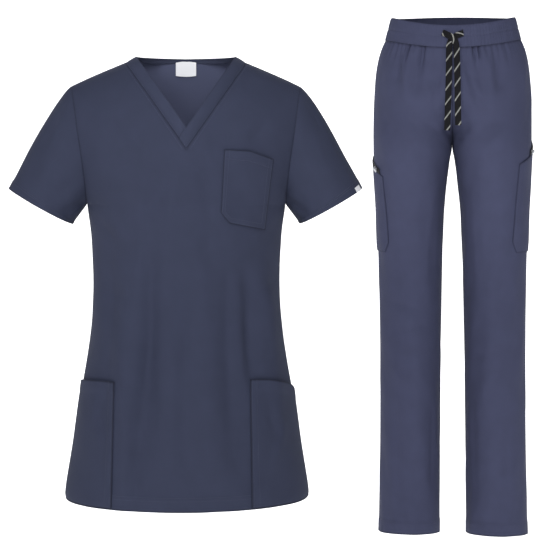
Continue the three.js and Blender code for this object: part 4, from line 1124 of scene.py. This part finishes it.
TROUSER_CREASES = table(
    "leg facing x z x2 z2 width height bow",
    (-1, -1, 252, -128, 176, -92, 8, -0.8, -4), (-1, -1, 250, -160, 170, -196, 9, -0.8, 5),
    (-1, -1, 246, -196, 184, -262, 8, -0.8, -4), (1, -1, 252, -124, 182, -86, 8, -0.8, 4),
    (1, -1, 250, -156, 166, -188, 9, -0.8, -5), (1, -1, 246, -202, 190, -270, 8, -0.8, 4),
    (-1, -1, 148, 100, 149, 8, 3.6, -5.2, 0.5), (-1, -1, 180, 100, 182, 10, 3.6, -5.6, -0.5),
    (-1, -1, 192, 100, 190, 6, 3.6, -5.0, 0.5), (1, -1, 212, 100, 208, 16, 3.6, -5.4, 0.5),
    (1, -1, 198, 100, 196, 30, 3.6, -4.6, -0.5), (-1, -1, 241, 40, 218, -90, 8, -3.8, 3),
    (1, -1, 237, 52, 199, -78, 8, -4.0, -3), (-1, -1, 112, 100, 110, 20, 4, -2.8, 1),
    (1, -1, 120, 100, 124, 18, 4, -2.4, -1), (-1, 1, 130, 100, 132, 10, 3.6, -3.4, 0.5),
    (-1, 1, 196, 100, 194, 20, 3.4, -3.2, -0.5), (1, 1, 150, 100, 148, 12, 3.6, -3.4, 0.5),
    (1, 1, 214, 100, 216, 22, 3.4, -3.2, 0.5),
    (-1, -1, 52, -430, 168, -452, 11, -1.5, 4), (-1, -1, 96, -500, 214, -482, 10, -1.3, -5),
    (-1, -1, 60, -560, 150, -600, 11, 1.4, 4), (1, -1, 60, -446, 176, -430, 11, -1.4, -4),
    (1, -1, 84, -520, 206, -542, 10, -1.4, 5), (1, -1, 70, -610, 160, -570, 11, 1.2, -4),
    (-1, -1, 90, -620, 110, -850, 12, -1.8, 5), (-1, -1, 200, -560, 190, -860, 12, -1.6, -5),
    (1, -1, 96, -640, 100, -860, 12, -1.8, -5), (1, -1, 204, -600, 196, -870, 12, -1.6, 5),
    (-1, 1, 240, -150, 120, -176, 10, -3.0, 6), (-1, 1, 236, -190, 90, -226, 10, -2.2, -5),
    (1, 1, 240, -154, 116, -172, 10, -3.0, -6), (1, 1, 236, -196, 96, -232, 10, -2.0, 5),
    (-1, 1, 60, -440, 200, -462, 11, -2.2, 5), (-1, 1, 90, -500, 210, -486, 10, -1.8, -4),
    (1, 1, 66, -452, 196, -436, 11, -2.2, -5), (1, 1, 80, -506, 206, -520, 10, -1.8, 4),
    (-1, 1, 110, -600, 100, -860, 12, -2.0, 4), (1, 1, 116, -610, 110, -860, 12, -2.0, -4),
    (-1, 1, 200, -250, 190, -420, 11, 1.6, 4), (1, 1, 204, -250, 196, -430, 11, 1.6, -4),
    (-1, -1, 190, -240, 176, -420, 11, 1.5, 4), (1, -1, 186, -236, 180, -420, 11, 1.5, -4),
)
print("folds", len(rows_of(TROUSER_FOLDS)), "creases", len(rows_of(TROUSER_CREASES)))


# %% Points of the trousers, in their own frame
def waist_line(angle, facing, top):
    dip, level = (WAIST["dip_top"], WAIST["top"]) if top else (WAIST["dip_seam"], WAIST["seam"])
    to_middle = np.cos(angle) ** 2
    return np.where(facing == FRONT, level - dip * to_middle, level + WAIST["back_rise"] * to_middle)


def by_facing(readers, facing, z):
    return np.where(facing == FRONT, readers[FRONT](z), readers[BACK](z))


def trouser_plain(a, z, facing, side):
    angle = (1 - a) * math.pi / 2
    hip_x, hip_y = hip_wide(z) * np.sin(angle), by_facing(hip_deep, facing, z) * np.cos(angle)
    middle, half = (leg_outer(z) + leg_inner(z)) / 2, (leg_outer(z) - leg_inner(z)) / 2
    leg_x, leg_y = middle + half * np.cos(a * math.pi), by_facing(leg_deep, facing, z) * np.sin(a * math.pi)
    share = (1 - ease(CROTCH, BLEND_FROM, z)) ** BLEND_POWER
    drift = LEG_DRIFT * np.clip((CROTCH - z) / (CROTCH - LEG_HEM), 0, 1)
    return points(side * mix(hip_x, leg_x, share) + drift, facing * mix(hip_y, leg_y, share), z)


def trouser_raise(a, z, facing, side):
    """How far folds, creases and gathers stand out."""
    raised = np.zeros(len(a))
    width = a * PANEL_GIRTH
    for line in rows_of(TROUSER_FOLDS):
        here = (facing == line["facing"]) & (side == line["leg"])
        if np.any(here):
            raised += np.where(here, fold(line, a, z, line["a"], line["a2"]), 0)
    for line in rows_of(TROUSER_CREASES):
        here = (facing == line["facing"]) & (side == line["leg"])
        if np.any(here):
            raised += np.where(here, crease(line, width, z), 0)
    gather = 1.3 * np.sin(2 * math.pi * width / 15 + 1.6 * np.sin(width / 21 + side) + facing)
    raised += gather * ease(14, 58, z) * (0.6 + 0.4 * np.sin(width / 33 + 2 * side))
    return raised + unevenness(width + 300 * side, z, facing) * ease(60, 0, z)


def trouser_point(a, z, facing, side, lift=0.0):
    step = 0.01
    facing, side = np.broadcast_to(facing, a.shape), np.broadcast_to(side, a.shape)
    place = trouser_plain(a, z, facing, side)
    low, high = np.maximum(0, a - step), np.minimum(1, a + step)
    wide = trouser_plain(high, z, facing, side) - trouser_plain(low, z, facing, side)
    out = unit(points(wide[:, 1], -wide[:, 0], 0) * (side * facing)[:, None])
    out = np.where((a == 0)[:, None], points(side, 0, 0), out)
    edges = ease(0, 0.08, a) * ease(0, 0.06, 1 - a)
    place = place + out * (trouser_raise(a, z, facing, side) * edges + lift)[:, None]
    dip = waist_line((1 - a) * math.pi / 2, facing, False) - WAIST["seam"]
    shift = dip * ease(WAIST["level_below"], WAIST["seam"], z)
    rise = CUFF_RISE * np.sin(a * math.pi) * ease(CUFF_RISE_FROM, LEG_HEM, z)
    place[:, 2] += shift + np.where(facing == FRONT, rise, 0)
    return place


print("knee point", trouser_point(np.array([0.5]), np.array([-450.0]), FRONT, RIGHT)[0].round(1))

# %% Leg panels
LEG_HEM_HIGH = 25.0
MIDDLE_SEAM_ROLL = 0.9


def leg_pattern(facing, side):
    def pattern(u, v):
        z = mix(LEG_HEM, WAIST["seam"], v)
        hem = 0.6 * (1 - ease(LEG_HEM_HIGH - 2, LEG_HEM_HIGH + 2, z - LEG_HEM))
        inseam = rolled((1 - u) * PANEL_GIRTH) * ease(CROTCH - 25, CROTCH - 60, z)
        lift = hem + rolled(u * PANEL_GIRTH) + inseam + rolled(WAIST["seam"] - z)
        made = trouser_point(u, z, facing, side, lift)
        shut = ease(0.985, 1, u) * ease(CROTCH - 1, CROTCH + 6, z)
        made[:, 0] -= made[:, 0] * shut
        made[:, 1] -= facing * MIDDLE_SEAM_ROLL * ease(0.97, 1, u) * ease(CROTCH, CROTCH + 20, z)
        return stand(made)

    return pattern


def out_of_leg(side):
    middle = stand(np.array([[side * 84.0, 0, 0]]))[0] * MM
    return lambda place: (place[0] - middle[0], place[1] - middle[1], 0)


for side_name, side in (("right", RIGHT), ("left", LEFT)):
    for facing_name, facing in (("front", FRONT), ("back", BACK)):
        leg_piece = shell(
            "trouser_" + facing_name + "_cloth_" + side_name, [leg_pattern(facing, side)], 90, 220,
            CLOTH_THICK, slate_legs_painted_lighter, out_of_leg(side), "trousers_" + facing_name + "_" + side_name,
        )
        declare(leg_piece, 0.30, 0.985, ["trousers_waistband"])

# %% [markdown]
# ## Waistband
# A wide elastic sits in a doubled band. A stitched channel for the cord runs along its middle, and the
# cloth puckers finely where the elastic holds it in. The top is a fold and the bottom is a seam.

# %% Elastic waistband
BAND_HIGH = 44.0
FINE_PUCKERS, BROAD_PUCKERS = 125, 35
CHANNEL_UP = 0.5


def waistband_plain(turn, up):
    angle = np.mod(turn, 1) * 2 * math.pi
    facing = np.where(np.cos(angle) > 0, FRONT, BACK)
    to_side = np.abs(np.arcsin(np.sin(angle)))
    z = mix(waist_line(to_side, facing, False), waist_line(to_side, facing, True), up)
    flat_z = mix(WAIST["seam"], WAIST["top"], up)
    return points(hip_wide(flat_z) * np.sin(angle), -by_facing(hip_deep, facing, flat_z) * np.cos(angle), z)


def waistband_lift(u, v):
    up = v * BAND_HIGH
    round_fold = -1.2 * np.exp(-(((BAND_HIGH - up) / 2.2) ** 2)) - 0.9 * np.exp(-((up / 2.5) ** 2))
    from_channel = up - CHANNEL_UP * BAND_HIGH
    channel = -0.7 * np.exp(-((from_channel / 1.8) ** 2))
    round_band = 2 * math.pi * u
    fine = 0.32 * np.sin(FINE_PUCKERS * round_band + 1.3 * np.sin(7 * round_band))
    pucker = fine + 0.25 * np.sin(BROAD_PUCKERS * round_band + 1)
    away = 1 - np.exp(-((from_channel / 6) ** 2)) * 0.4
    return 0.5 + round_fold + channel + pucker * away


def own_axis_out(place):
    return points(place[:, 0], place[:, 1], 0)


waistband_own = lifted(waistband_plain, waistband_lift, own_axis_out, closed=True)


def waistband_pattern(u, v, extra=0.0):
    return stand(waistband_own(u, v, extra))


waistband_piece = shell(
    "waistband_cloth", [waistband_pattern], 420, 26, CLOTH_THICK, slate_legs_painted_lighter,
    beside_axis, "trousers_waistband", rim=0.8,
)
declare(waistband_piece, 0.80, 0.05, ["trousers_front_right", "trousers_back_right"])

# %% [markdown]
# ## Thigh pockets and their zips
# Each thigh pocket wraps round the outseam. Its mouth is closed by a slanted zip on black tape, whose
# moulded teeth are two rows of small bars that interlock. The slider and pull tab are the frame's own
# solids.

# %% Thigh pocket sizes
THIGH_FRONTS = {
    "right": {"seam_top": -174.0, "front_top": 0.234, "front_low": 0.29, "zip_front": 0.19},
    "left": {"seam_top": -146.0, "front_top": 0.275, "front_low": 0.33, "zip_front": 0.12},
}
THIGH = {
    "back_top": -0.27, "back_low": -0.3, "slant": 105.0, "low": -344.0,
    "cut_share": 0.045, "cut_height": 0.13,
}
ZIP_WIDE, ZIP_GAP, LAYER_GAP = 9.0, 0.5, 1.2
SIDES = {"right": RIGHT, "left": LEFT}


def leg_over(share, z, side, lift):
    """Over a leg: share is positive on the front and negative on the back of the outseam."""
    step = 0.004

    def at(s, height):
        return trouser_point(np.abs(s), height, np.where(s >= 0, FRONT, BACK), side)

    wide = at(share + step, z) - at(share - step, z)
    out = unit(np.cross(wide, at(share, z - 1) - at(share, z + 1)) * side)
    return at(share, z) + out * np.broadcast_to(lift, share.shape)[:, None]


def pocket_top(side_name, share):
    return THIGH_FRONTS[side_name]["seam_top"] - THIGH["slant"] * share


def thigh_pattern(side_name):
    side, own = SIDES[side_name], THIGH_FRONTS[side_name]

    def pattern(u, v, extra=0.0):
        cut = THIGH["cut_share"] * (1 - np.clip(v / THIGH["cut_height"], 0, 1))
        upper = np.clip((v - THIGH["cut_height"]) / (1 - THIGH["cut_height"]), 0, 1)
        front = mix(own["front_low"], own["front_top"], upper) - cut
        back = mix(THIGH["back_low"], THIGH["back_top"], upper) + cut
        share = mix(front, back, u)
        sewn = ease(0, 0.06, u) * ease(0, 0.06, 1 - u) * ease(0, 0.05, v)
        ridge = -0.5 * np.exp(-(((u - 0.075) / 0.012) ** 2)) - 0.4 * np.exp(-(((v - 0.06) / 0.012) ** 2))
        lift = CLOTH_THICK + 0.3 + 1.1 * sewn * (0.8 + 0.2 * np.sin(6 * u + 4 * v)) + ridge
        return stand(leg_over(share, mix(THIGH["low"], pocket_top(side_name, share), v), side, lift + extra))

    return pattern


def zip_pattern(side_name):
    def pattern(u, v, extra=0.0):
        share = mix(THIGH_FRONTS[side_name]["zip_front"], THIGH["back_top"], u)
        z = pocket_top(side_name, share) + ZIP_GAP + ZIP_WIDE * v
        return stand(leg_over(share, z, SIDES[side_name], LAYER_GAP + 1.0 + extra))

    return pattern


thigh_patterns = {name: thigh_pattern(name) for name in SIDES}
zip_patterns = {name: zip_pattern(name) for name in SIDES}
for side_name, side in SIDES.items():
    thigh_piece = shell(
        "thigh_pocket_cloth_" + side_name, [thigh_patterns[side_name]], 60, 56, CLOTH_THICK, slate_legs_painted_lighter,
        out_of_leg(side), "trousers_thigh_pocket_" + side_name, rim=0.55,
    )
    declare(thigh_piece, 0.17, 0.23, ["trousers_front_" + side_name, "trousers_back_" + side_name])
    tape_piece = shell(
        "zip_tape_" + side_name, [zip_patterns[side_name]], 60, 6, 1.0, zip_tape,
        out_of_leg(side), "trousers_zip_" + side_name,
    )
    declare(tape_piece, 0.155, 0.012, ["trousers_front_" + side_name, "trousers_back_" + side_name])

# %% [markdown]
# ## Sewing
# Every seam that shows on such scrubs is run by machine: short even stitches that sink a little into the
# cloth. One small lozenge is copied along each line, and all the stitches of a garment are one joined
# mesh.

# %% One stitch, and lines of them
STITCH_PITCH = 3.1
STITCH_SIZE = (2.5, 0.42, 0.34)


def stitch_template():
    shape = bmesh.new()
    bmesh.ops.create_icosphere(shape, subdivisions=1, radius=0.5)
    corners = np.array([vertex.co for vertex in shape.verts], float)
    faces = np.array([[vertex.index for vertex in face.verts] for face in shape.faces])
    shape.free()
    return corners, faces


STITCH_CORNERS, STITCH_FACES = stitch_template()


class Sewing:
    """Collects lozenges, then makes them one mesh."""

    def __init__(self):
        self.corners, self.faces, self.count = [], [], 0

    def add(self, middle, along, out, size):
        sideways = unit(np.cross(out, along))
        long, wide, high = size
        local = STITCH_CORNERS
        spots = (
            middle[:, None]
            + along[:, None] * (local[:, 0] * long)[None, :, None]
            + sideways[:, None] * (local[:, 1] * wide)[None, :, None]
            + out[:, None] * (local[:, 2] * high)[None, :, None]
        )
        first = self.count * len(local) + np.arange(len(middle)) * len(local)
        self.corners.append(spots.reshape(-1, 3))
        self.faces.append((STITCH_FACES[None] + first[:, None, None]).reshape(-1, 3))
        self.count += len(middle)

    def run(self, pattern, u, v, pitch=STITCH_PITCH, size=STITCH_SIZE, sink=0.0):
        """Stitches along the line of (u, v) on a pattern that can be lifted."""
        low, high = pattern(u, v, sink), pattern(u, v, sink + 1.0)
        gone = np.append(0, np.cumsum(np.linalg.norm(np.diff(low, axis=0), axis=1)))
        count = max(2, int(gone[-1] / pitch))
        at = (np.arange(count) + 0.5) * gone[-1] / count

        def along_line(values):
            return np.stack([np.interp(at, gone, values[:, k]) for k in range(3)], axis=1)

        middle, out = along_line(low), unit(along_line(high - low))
        along = unit(along_line(np.gradient(low, axis=0)))
        out = unit(out - along * (out * along).sum(1)[:, None])
        self.add(middle, along, out, size)

    def make(self, name, material):
        mesh = bpy.data.meshes.new(name)
        corners = np.vstack(self.corners) * MM
        mesh.from_pydata(corners.tolist(), [], np.vstack(self.faces).tolist())
        mesh.polygons.foreach_set("use_smooth", np.ones(len(mesh.polygons), bool))
        mesh.materials.append(material)
        made = bpy.data.objects.new(name, mesh)
        bpy.context.scene.collection.objects.link(made)
        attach(made, BODY)
        print(name, self.count, "stitches,", len(mesh.polygons), "faces")
        return made


line_on = np.linspace(0, 1, 400)
band_on = np.linspace(0, 1, 1200)
PANEL_SINK, PIECE_SINK, BAND_SINK, HEM_SINK = 0.45, 0.12, 0.15, 0.5


def held(value):
    """One value all along a seam."""
    return np.full_like(line_on, value)


print("a stitch has", len(STITCH_FACES), "faces")


# %% Stitches of the top
def side_rows(facing, side):
    def pattern(across, row, extra):
        return body_point(across, row, facing, np.full(len(across), side), 0.05 + extra)

    return pattern


POCKET_SEAMS = {"chest": (100, 13, 75), "hip": (190, 17, 95)}
POCKET_INSETS = (2.2, 7.5)
top_sewing = Sewing()
hem_row = HEM_HIGH / (ROW_HEIGHTS[1] - ROW_HEIGHTS[0])
for facing in (FRONT, BACK):
    for side in (RIGHT, LEFT):
        for row in (hem_row, hem_row - 0.18):
            top_sewing.run(side_rows(facing, side), line_on, held(row), sink=PANEL_SINK)
for side in (RIGHT, LEFT):
    neck_rows = mix(ROWS_BELOW + TURN_ROW[FRONT], ROWS_BELOW + ROWS_ABOVE, line_on)
    top_sewing.run(side_rows(FRONT, side), held(0.03), neck_rows)
for side_name, pattern in sleeve_patterns.items():
    for back_from_edge in (16.0, 20.0):
        top_sewing.run(pattern, line_on, held(1 - back_from_edge / SLEEVE_LONG), sink=BAND_SINK)
for side_name, pattern in neckband_patterns.items():
    top_sewing.run(pattern, held(0.9), mix(0.05, 1, line_on), sink=BAND_SINK)
for pocket_name, pattern in pocket_patterns.items():
    high, hem, wide = POCKET_SEAMS["chest" if pocket_name == "chest" else "hip"]
    for inset in POCKET_INSETS:
        left, right = inset / wide, 1 - inset / wide
        low = inset / high
        top_sewing.run(pattern, held(left), mix(low, 1, line_on), sink=PIECE_SINK)
        if pocket_name == "chest":
            top_sewing.run(pattern, held(right), mix(low, 1, line_on), sink=PIECE_SINK)
            top_sewing.run(pattern, mix(left, right, line_on), held(low), sink=PIECE_SINK)
    top_sewing.run(pattern, mix(0.01, 0.99, line_on), held(1 - hem / high), sink=PIECE_SINK)
top_sewing.make("top_stitching", slate_thread)

# %% Stitches of the trousers
trouser_sewing = Sewing()


def leg_rows(facing, side):
    def pattern(a, z, extra):
        return stand(trouser_point(a, z, facing, side, 0.05 + extra))

    return pattern


for side in (RIGHT, LEFT):
    for facing in (FRONT, BACK):
        for high in (LEG_HEM_HIGH, LEG_HEM_HIGH - 5):
            trouser_sewing.run(leg_rows(facing, side), line_on, held(LEG_HEM + high), sink=HEM_SINK)
        rise = mix(CROTCH + 6, WAIST["seam"] - 2, line_on)
        trouser_sewing.run(leg_rows(facing, side), held(0.978), rise)
    outseam = mix(LEG_HEM + 1, WAIST["seam"] - 2, line_on)
    trouser_sewing.run(leg_rows(BACK, side), held(0.013), outseam)
for up in (CHANNEL_UP, 0.9):
    trouser_sewing.run(waistband_pattern, band_on, np.full_like(band_on, up), sink=0.1)
trouser_sewing.run(waistband_pattern, band_on, np.full_like(band_on, 0.06), sink=0.3)
for side_name, pattern in thigh_patterns.items():
    for inset in (0.02, 0.06):
        trouser_sewing.run(pattern, held(inset), mix(inset, 1, line_on), sink=PIECE_SINK)
        trouser_sewing.run(pattern, held(1 - inset), mix(inset, 1, line_on), sink=PIECE_SINK)
        trouser_sewing.run(pattern, mix(inset, 1 - inset, line_on), held(inset), sink=PIECE_SINK)
    trouser_sewing.run(pattern, line_on, held(0.985), sink=PIECE_SINK)
trouser_sewing.make("trouser_stitching", slate_thread)

# %% Zip teeth
TEETH_PITCH, TOOTH_SIZE = 1.25, (0.95, 2.6, 1.1)
zip_sewing = Sewing()
for side_name, pattern in zip_patterns.items():
    for up, shift in ((0.41, 0.0), (0.59, 0.5)):
        teeth = mix(0.02, 0.98, line_on) + shift * 0.006
        zip_sewing.run(pattern, teeth, held(up), pitch=TEETH_PITCH, size=TOOTH_SIZE, sink=0.3)
zip_sewing.make("zip_teeth", zip_tape)

# %% [markdown]
# ## Buttonholes for the cords
# Each cord comes out through a short upright buttonhole in the band, worked with close satin stitches
# round a dark slit: a black strip that is partly the cord in the opening and partly painted shade.

# %% Two worked buttonholes
BUTTONHOLE_TURN, BUTTONHOLE_UP, BUTTONHOLE_HALF = 0.0235, 0.62, 0.15
hole_sewing = Sewing()
slit_shade_sewing = Sewing()
for side in (RIGHT, LEFT):
    centre = side * BUTTONHOLE_TURN
    ring = np.linspace(0, 2 * math.pi, 200)
    u = centre + 0.0029 * np.cos(ring)
    v = BUTTONHOLE_UP + BUTTONHOLE_HALF * np.sin(ring)
    hole_sewing.run(waistband_pattern, u, v, pitch=0.8, size=(0.6, 2.0, 0.8), sink=0.3)
    upright = np.linspace(BUTTONHOLE_UP - BUTTONHOLE_HALF * 0.85, BUTTONHOLE_UP + BUTTONHOLE_HALF * 0.85, 60)
    # The dark slit: partly the black cord in the opening and partly painted shade.
    slit_shade_sewing.run(waistband_pattern, np.full(60, centre), upright, pitch=14, size=(13, 1.6, 0.5), sink=0.15)
hole_sewing.make("buttonhole_stitches", slate_thread)
slit_shade_sewing.make("buttonhole_slit_shade", zip_tape)

# %% [markdown]
# ## Sliders and pull tabs
# These stay the frame's own solids, because they are already true. They only get their satin nickel.

# %% Metal on the frame's own solids
for side_name in SIDES:
    for part_name in ("trousers_zip_slider_", "trousers_zip_pull_"):
        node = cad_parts[part_name + side_name]
        node.data.materials.clear()
        node.data.materials.append(zip_metal)
print("metal on", 2 * len(SIDES), "solids")

# %% [markdown]
# ## Studio
# The photo has a pure white ground and broad soft light from the upper left and the front. The floor is
# wide, sweeps up far behind the garments and shines of its own, so that it shows pure white. A small lamp
# over the front of the neck lights the inside of the back.

# %% Floor that sweeps up into a backdrop
FLOOR_HIGH, FLOOR_FRONT, FLOOR_HALF_WIDE = -1.02, -14.0, 14.0
studio_finish = Finish("pale_studio", roughness=0.9, base_color=colour(244, 244, 245))
studio_finish.set(studio_finish.shader, "Emission Color", (1, 1, 1, 1))
studio_finish.set(studio_finish.shader, "Emission Strength", 1.0)
sweep_shape = bmesh.new()
ends = (-FLOOR_HALF_WIDE, FLOOR_HALF_WIDE)
edge = [sweep_shape.verts.new((x, FLOOR_FRONT, FLOOR_HIGH)) for x in ends]
front_edge = sweep_shape.edges.new(edge)
run = [front_edge]
SWEEP = [(0, 25.0, 0), (0, 1.2, 0.15), (0, 0.9, 0.5), (0, 0.5, 0.9), (0, 0.15, 1.2), (0, 0, 6.0)]
for step in SWEEP:
    grown = bmesh.ops.extrude_edge_only(sweep_shape, edges=run)["geom"]
    corners = [item for item in grown if isinstance(item, bmesh.types.BMVert)]
    bmesh.ops.translate(sweep_shape, verts=corners, vec=step)
    run = [item for item in grown if isinstance(item, bmesh.types.BMEdge)]
bmesh.ops.recalc_face_normals(sweep_shape, faces=sweep_shape.faces)
studio_floor = object_from(sweep_shape, "studio_floor", studio_finish.material)
studio_floor.data.polygons.foreach_set("use_smooth", np.ones(len(studio_floor.data.polygons), bool))
print("floor at", FLOOR_HIGH)


# %% Soft lights
def softbox(name, place, aim, size, power):
    data = bpy.data.lights.new(name, "AREA")
    data.shape = "SQUARE"
    data.size = size
    data.energy = power
    lamp = bpy.data.objects.new(name, data)
    lamp.location = place
    lamp.rotation_mode = "QUATERNION"
    lamp.rotation_quaternion = (Vector(aim) - Vector(place)).to_track_quat("-Z", "Y")
    bpy.context.scene.collection.objects.link(lamp)
    print(name, power, "W")


softbox("key_light", (-2.8, -3.7, 2.1), (0.3, 0.3, -0.4), 1.3, 95)
softbox("front_light", (0.3, -5.2, 0.7), (0.25, 0.3, -0.3), 0.8, 112)
softbox("top_light", (0.1, -1.7, 2.5), (0.15, 0.2, -0.2), 1.0, 20)
softbox("neck_light", (0.0, -0.45, 0.32), (0.0, 0.06, -0.05), 0.25, 1.5)
softbox("back_light", (0.2, 4.6, 1.8), (0.3, 0.4, -0.3), 1.6, 40)
world = bpy.data.worlds.new("studio_air")
world.use_nodes = True
world.node_tree.nodes["Background"].inputs[0].default_value = (0.97, 0.98, 1.0, 1)
world.node_tree.nodes["Background"].inputs[1].default_value = 0.22
bpy.context.scene.world = world
bpy.context.scene.view_settings.view_transform = "Standard"
